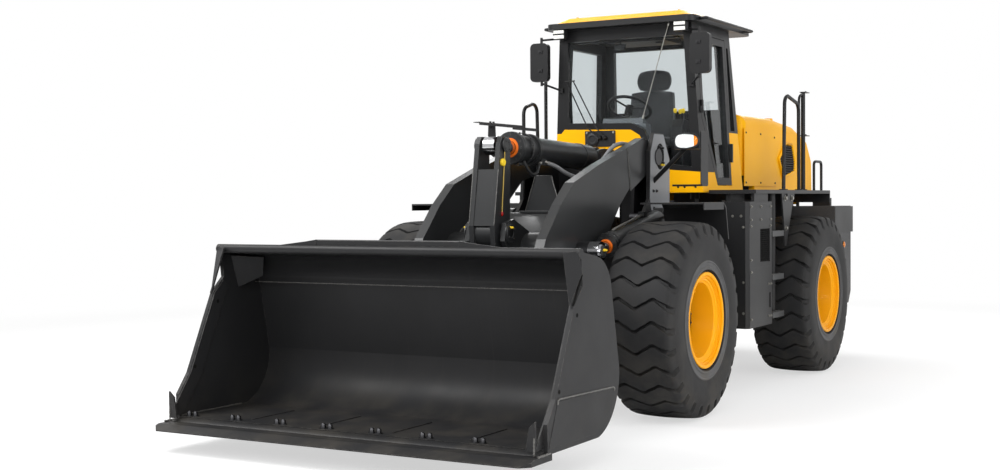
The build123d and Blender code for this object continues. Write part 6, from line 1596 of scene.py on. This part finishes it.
def hood_relief():
    """Side panels over the flanks, the vent with its slats and frame, screws, and a filler cap."""
    slats, panels, screws, cap, vent = Piece(), Piece(), Piece(), Piece(), Piece()
    for side in (1, -1):
        for k in range(SLATS):
            z = 1.985 + 0.025 * k
            spans = []
            for (x0, z0), (x1, z1) in zip(HEXAGON, HEXAGON[1:] + HEXAGON[:1]):
                if min(z0, z1) <= z < max(z0, z1):
                    spans.append(x0 + (x1 - x0) * (z - z0) / (z1 - z0))
            if len(spans) < 2:
                continue
            x0, x1 = min(spans) + 0.006, max(spans) - 0.006
            y, lip = side * (HOOD_SIDE_Y + 0.004), side * (HOOD_SIDE_Y + 0.014)
            corners = [at(x0, y, z + 0.01), at(x1, y, z + 0.01), at(x1, lip, z), at(x0, lip, z)]
            panel(slats, corners, 0.003, (0, 0, 1))
        face = side * HOOD_SIDE_Y
        outline = ((-3.8, 1.885), (-2.815, 1.885), (-2.815, 2.46), (-3.74, 2.46), (-3.8, 2.4))
        panels.plate([at(x, 0, z).xz for x, z in outline], 1, face, face + side * PANEL_OUT)
        # Matt black sheet behind the slats: painted shade of the vent's dark inside
        vent.plate([at(x, 0, z).xz for x, z in HEXAGON], 1, face, face + side * 0.003)
        rim = [at(x, side * (HOOD_SIDE_Y + 0.006), z) for x, z in HEXAGON]
        panels.tube(rounded_line(rim + rim[:2], 0.02), 0.016, 8)
        for x, z in ((-3.76, 1.92), (-3.3, 1.92), (-2.86, 1.92), (-2.86, 2.42), (-3.3, 2.42), (-3.74, 2.4)):
            screws.bolt(at(x, face + side * PANEL_OUT, z), (0, side, 0), 0.016, 0.007)
    cap.lathe(
        [
            (-0.004, 0), (-0.004, 0.06), (0.02, 0.06), (0.026, 0.052), (0.05, 0.05), (0.056, 0.044),
            (0.056, 0)
        ],
        at(-4.15, 0.55, 2.572), (0, 0, 1), 32,
    )
    vent.make("hood_vent_painted_shade", MATT_BLACK, "engine_hood", slot="plastic")
    slats.make("hood_slats", PLASTIC, "engine_hood", slot="plastic")
    panels.make("hood_side_panels", YELLOW, "engine_hood", bevel=0.003, slot="yellow_paint")
    screws.make("hood_screws", DARK_STEEL, "engine_hood", slot="steel")
    cap.make("hood_filler_cap", YELLOW, "engine_hood", bevel=0.001, slot="yellow_paint")


BOX_FACE_Y = 1.25
BOX_RECESS_Y = 1.239
BOX_FRONT_X = -1.53
TREAD_LEVELS = (1.41, 1.0, 0.64)
TREAD_THICK = 0.034
HANGER_FACE_Y = 1.2425
BOX_BOLT = 0.018


def side_box_details():
    """Grille in each box's recess, cover seams, bolts and latch, and treads."""
    grille, covers, bolts, treads = Piece(), Piece(), Piece(), Piece()
    for side in (1, -1):
        face = side * BOX_FACE_Y
        back = side * BOX_RECESS_Y
        for k in range(9):
            x = -2.108 + 0.0305 * k
            grille.block(at(x, back, 1.176), at(x + 0.012, back + side * 0.005, 1.474))
        for k in range(16):
            z = 1.182 + 0.0192 * k
            grille.block(at(-2.115, back, z), at(-1.855, back + side * 0.006, z + 0.007))
        for x0, x1, z0, z1 in ((-2.172, -1.56, 1.53, 1.715), (-2.172, -1.56, 0.6, 1.13)):
            covers.block(at(x0, face, z0), at(x1, face + side * 0.003, z1))
        for x in (-2.14, -1.86, -1.6):
            for z in (1.565, 1.685):
                bolts.bolt(at(x, face + side * 0.003, z), (0, side, 0), BOX_BOLT, BOX_BOLT / 2)
        for x, z in (
            (-2.14, 0.66), (-2.08, 0.66), (-2.14, 0.96), (-2.08, 0.96), (-1.6, 0.66), (-1.6, 1.09),
            (-2.14, 1.505), (-1.6, 1.505), (-1.6, 1.2)
        ):
            proud = 0.003 if z < 1.13 else 0
            bolts.bolt(at(x, face + side * proud, z), (0, side, 0), BOX_BOLT, BOX_BOLT / 2)
        # Latch with its handle, and the front face's bolts
        covers.block(at(-2.13, face, 0.74), at(-2.105, face + side * 0.014, 0.88))
        for y, z in ((1.1, 1.6), (1.18, 1.6), (1.2, 1.5), (1.2, 1.0), (1.2, 0.72), (0.98, 1.6), (0.98, 0.72)):
            bolts.bolt(at(BOX_FRONT_X, side * y, z), (1, 0, 0), BOX_BOLT, BOX_BOLT / 2)
        for z in TREAD_LEVELS:
            top = z + TREAD_THICK
            treads.block(at(-2.525, side * 1.055, top), at(-2.185, side * 1.245, top + 0.004))
            for i in range(8):
                for j in range(4):
                    x, y = -2.505 + 0.043 * i, 1.075 + 0.045 * j
                    treads.lathe(
                        [(0, 0.012), (0.005, 0.009), (0.005, 0.0)],
                        at(x, side * y, top + 0.003), (0, 0, 1), 8
                    )
            treads.block(at(-2.52, side * 1.25, z - 0.012), at(-2.19, side * 1.256, top + 0.006))
        for x, z, size in ((-2.6, 1.76, 0.04), (-2.8, 1.76, 0.04), (-2.62, 1.47, 0.034)):
            bolts.bolt(at(x, side * HANGER_FACE_Y, z), (0, side, 0), size, 0.018)
    grille.make("box_grilles", MATT_BLACK, "rear_body", slot="black_paint")
    covers.make("box_covers", PANEL, "rear_body", bevel=0.002, slot="black_paint")
    bolts.make("box_bolts", STEEL, "rear_body", slot="steel")
    treads.make("step_treads", TREAD_PAINT, "rear_body", bevel=0.001, slot="black_paint")


RAIL_Y = 1.195
POST_X = -3.33
DECK_TOP = 1.841


def rail_fittings():
    """Ties between the left hoop and its post, and small plates on the post."""
    ties = Piece()
    tie = [at(-3.19, RAIL_Y, 2.66), at(-3.2, RAIL_Y, 2.79), at(POST_X, RAIL_Y, 2.815)]
    ties.tube(rounded_line(tie, 0.05), 0.013, 10)
    for z in (2.828, 2.39):
        ties.block(at(-3.46, RAIL_Y - 0.03, z), at(-3.31, RAIL_Y + 0.03, z + 0.008))
        ties.bolt(at(-3.42, RAIL_Y, z + 0.008), (0, 0, 1), 0.018, 0.01)
    for x in (-2.7, -3.19, POST_X):
        ties.lathe([(0, 0), (0, 0.042), (0.008, 0.042), (0.008, 0)], at(x, RAIL_Y, DECK_TOP), (0, 0, 1), 20)
    ties.make("rail_fittings", BLACK, "rear_body", bevel=0.001, slot="black_paint")


WEIGHT_SIDE_Y = 1.1


def rear_details():
    """Dark upper skin of the counterweight, its side markers, and the tail lamps' housings."""
    skin, marks, base = Piece(), Piece(), Piece()
    for side in (1, -1):
        a, b = sorted((side * WEIGHT_SIDE_Y, side * (WEIGHT_SIDE_Y + 0.004)))
        skin.block(at(-5.522, a, 1.37), at(-4.798, b, 1.664))
        place = at(-5.12, side * WEIGHT_SIDE_Y, 1.23)
        base.lathe([(-0.002, 0), (-0.002, 0.042), (0.01, 0.04), (0.01, 0)], place, (0, side, 0), 28)
        marks.lathe(
            [(0.008, 0), (0.008, 0.034), (0.018, 0.032), (0.024, 0.02), (0.026, 0)], place, (0, side, 0), 28
        )
    skin.make("counterweight_skin", BLACK, "rear_body", bevel=0.001, slot="black_paint")
    base.make("marker_bases", PLASTIC, "rear_body", slot="plastic")
    marks.make("side_markers", AMBER, "rear_body", slot="lens")
    low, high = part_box("tail_lamps")
    inner = min(v.co.y for v in NODES["tail_lamps"].data.vertices if v.co.y > 0)
    housing, lens = Piece(), Piece()
    third = (high.y - inner) / 3
    for side in (1, -1):
        a, b = sorted((side * inner, side * high.y))
        housing.block((low.x + 0.012, a, low.z), (high.x, b, high.z))
        for k in range(2):
            c, d = sorted((side * (inner + 0.006 + k * third), side * (inner - 0.002 + (k + 1) * third)))
            lens.block((low.x, c, low.z + 0.006), (low.x + 0.014, d, high.z - 0.006))
    housing.make(
        "tail_lamp_housings", PLASTIC, "rear_body", bevel=0.003, slot="black_paint",
        replaces=("tail_lamps",)
    )
    lens.make("tail_lamp_lenses", RED_LENS, "rear_body", bevel=0.003, slot="lens")


cab_lining()
seat()
windscreen_fittings()
cab_ceiling()
roof_fittings()
mirror_faces()
hood_relief()
side_box_details()
rail_fittings()
rear_details()


# ---------------------------------------------------------------- finishes of the CAD nodes
CAD_FINISH = {
    YELLOW: ("cab_shell", "roof_cap", "hood"),
    BLACK: ("cab_frame", "door", "handrails", "cab_roof", "headlamps", "mirrors"),
    PANEL: ("decks", "side_boxes", "steps", "mudguards"),
    BOOM_PAINT: ("boom", "rocker", "bucket_link", "dump_barrel", "lift_barrels"),
    BUCKET: ("bucket", "cutting_edge"),
    CASTING: ("counterweight",),
    CHROME: ("lift_rods", "dump_rod", "steering_rod_left", "steering_rod_right"),
    DARK_STEEL: ("tower_pins", "boom_pins", "rocker_pins", "bucket_pins", "frame_pins"),
    GLASS: ("cab_glass", "door_glass"),
    LENS: ("headlamp_lenses",),
    PLASTIC: ("hood_grilles", "radiator", "engine_block"),
    DASH_GREY: ("dash",),
    GRIP: ("steering_wheel",),
    FRAME_PAINT: (
        "front_frame", "rear_frame", "axle_front", "axle_rear", "transmission",
        "steering_barrel_left", "steering_barrel_right",
    ),
}
for finish, names in CAD_FINISH.items():
    for name in names:
        if name not in NODES:
            continue
        data = NODES[name].data
        data.materials.clear()
        data.materials.append(finish)
        data.set_sharp_from_angle(angle=SHARP)
        data.polygons.foreach_set("use_smooth", [True] * len(data.polygons))


# ---------------------------------------------------------------- camera, lights and floor
SENSOR = 36.0
LENS_MM = 49.42
CAMERA_PLACE = at(10.307, 5.422, 1.755)
CAMERA_TURN = math.radians(29.68)
CAMERA_DROP = 0.025
CAMERA_ROLL = -0.007
FLOOR_HALF = 60.0
SHADOW_FADE = 0.6


def add_camera():
    data = bpy.data.cameras.new("camera")
    data.sensor_width, data.lens = SENSOR, LENS_MM
    camera = bpy.data.objects.new("camera", data)
    bpy.context.scene.collection.objects.link(camera)
    level = math.cos(CAMERA_DROP)
    ahead = Vector((-math.cos(CAMERA_TURN) * level, -math.sin(CAMERA_TURN) * level, -math.sin(CAMERA_DROP)))
    right = ahead.cross(Vector((0, 0, 1))).normalized()
    up = right.cross(ahead)
    rolled_right = right * math.cos(CAMERA_ROLL) + up * math.sin(CAMERA_ROLL)
    rolled_up = up * math.cos(CAMERA_ROLL) - right * math.sin(CAMERA_ROLL)
    turn = Matrix((rolled_right, rolled_up, -ahead)).transposed().to_4x4()
    camera.matrix_world = Matrix.Translation(CAMERA_PLACE) @ turn
    bpy.context.scene.camera = camera


def add_light(name, place, target, size, power):
    data = bpy.data.lights.new(name, "AREA")
    data.shape, data.size, data.size_y, data.energy = "RECTANGLE", size[0], size[1], power
    light = bpy.data.objects.new(name, data)
    light.location = place
    light.rotation_euler = (Vector(target) - Vector(place)).to_track_quat("-Z", "Y").to_euler()
    bpy.context.scene.collection.objects.link(light)


def add_floor():
    """Pale floor that keeps the shadow and fades to plain white away from the machine."""
    finish = Finish("studio_floor", grey(0.9), 0.8)
    tree = finish.tree
    place = finish.node("TexCoord").outputs["Object"]
    away = finish.node("VectorMath", {"operation": "LENGTH"}, **{"0": place}).outputs["Value"]
    far = finish.ramp(away, 7.0, 13.0)
    seen = finish.node("LightPath").outputs["Is Camera Ray"]
    white = finish.node("Emission", Color=grey(1.0), Strength=1.0)
    mixed = tree.nodes.new("ShaderNodeMixShader")
    out = next(n for n in tree.nodes if n.type == "OUTPUT_MATERIAL")
    tree.links.new(finish.math("MULTIPLY", finish.math("MAXIMUM", far, SHADOW_FADE), seen), mixed.inputs[0])
    tree.links.new(finish.shader.outputs[0], mixed.inputs[1])
    tree.links.new(white.outputs[0], mixed.inputs[2])
    tree.links.new(mixed.outputs[0], out.inputs[0])
    data = bpy.data.meshes.new("floor")
    h = FLOOR_HALF
    data.from_pydata([(-h, -h, 0), (h, -h, 0), (h, h, 0), (-h, h, 0)], [], [(0, 1, 2, 3)])
    data.materials.append(finish.material)
    floor = bpy.data.objects.new("floor", data)
    floor.location = (0, 0, CAD_BOX[0][2] - 0.002)
    bpy.context.scene.collection.objects.link(floor)


def add_world():
    """White for the camera, mirrors and glass; a softer grey as light."""
    world = bpy.data.worlds.new("studio")
    world.use_nodes = True
    bpy.context.scene.world = world
    g = Graph(world.node_tree)
    back = next(n for n in g.tree.nodes if n.type == "BACKGROUND")
    path = g.node("LightPath")
    seen = g.math("MAXIMUM", path.outputs["Is Camera Ray"], path.outputs["Is Transmission Ray"])
    seen = g.math("MAXIMUM", seen, path.outputs["Is Glossy Ray"])
    up = g.node("SeparateXYZ", Vector=g.node("TexCoord").outputs["Generated"]).outputs["Z"]
    sky = g.ramp(up, -0.15, 0.9, 0.22, 0.85)
    strength = g.node("Mix", {"data_type": "FLOAT"}, **{"0": seen, "2": sky, "3": 1.0})
    g.put(back, "Color", grey(1.0))
    g.put(back, "Strength", strength.outputs[0])


add_camera()
add_floor()
add_world()
add_light("key", at(5.5, -4.5, 7.5), at(0.2, 0, 1.2), (6.0, 4.0), 800)
add_light("side", at(0.5, 9.0, 4.2), at(-1.0, 0, 1.4), (7.0, 4.0), 320)
add_light("front", at(9.5, 3.0, 4.5), at(1.0, 0, 1.2), (5.0, 3.5), 340)
add_light("back", at(-9.0, -3.0, 6.5), at(-2.0, 0, 1.5), (6.0, 4.0), 500)
bpy.context.scene.view_settings.view_transform = "Standard"
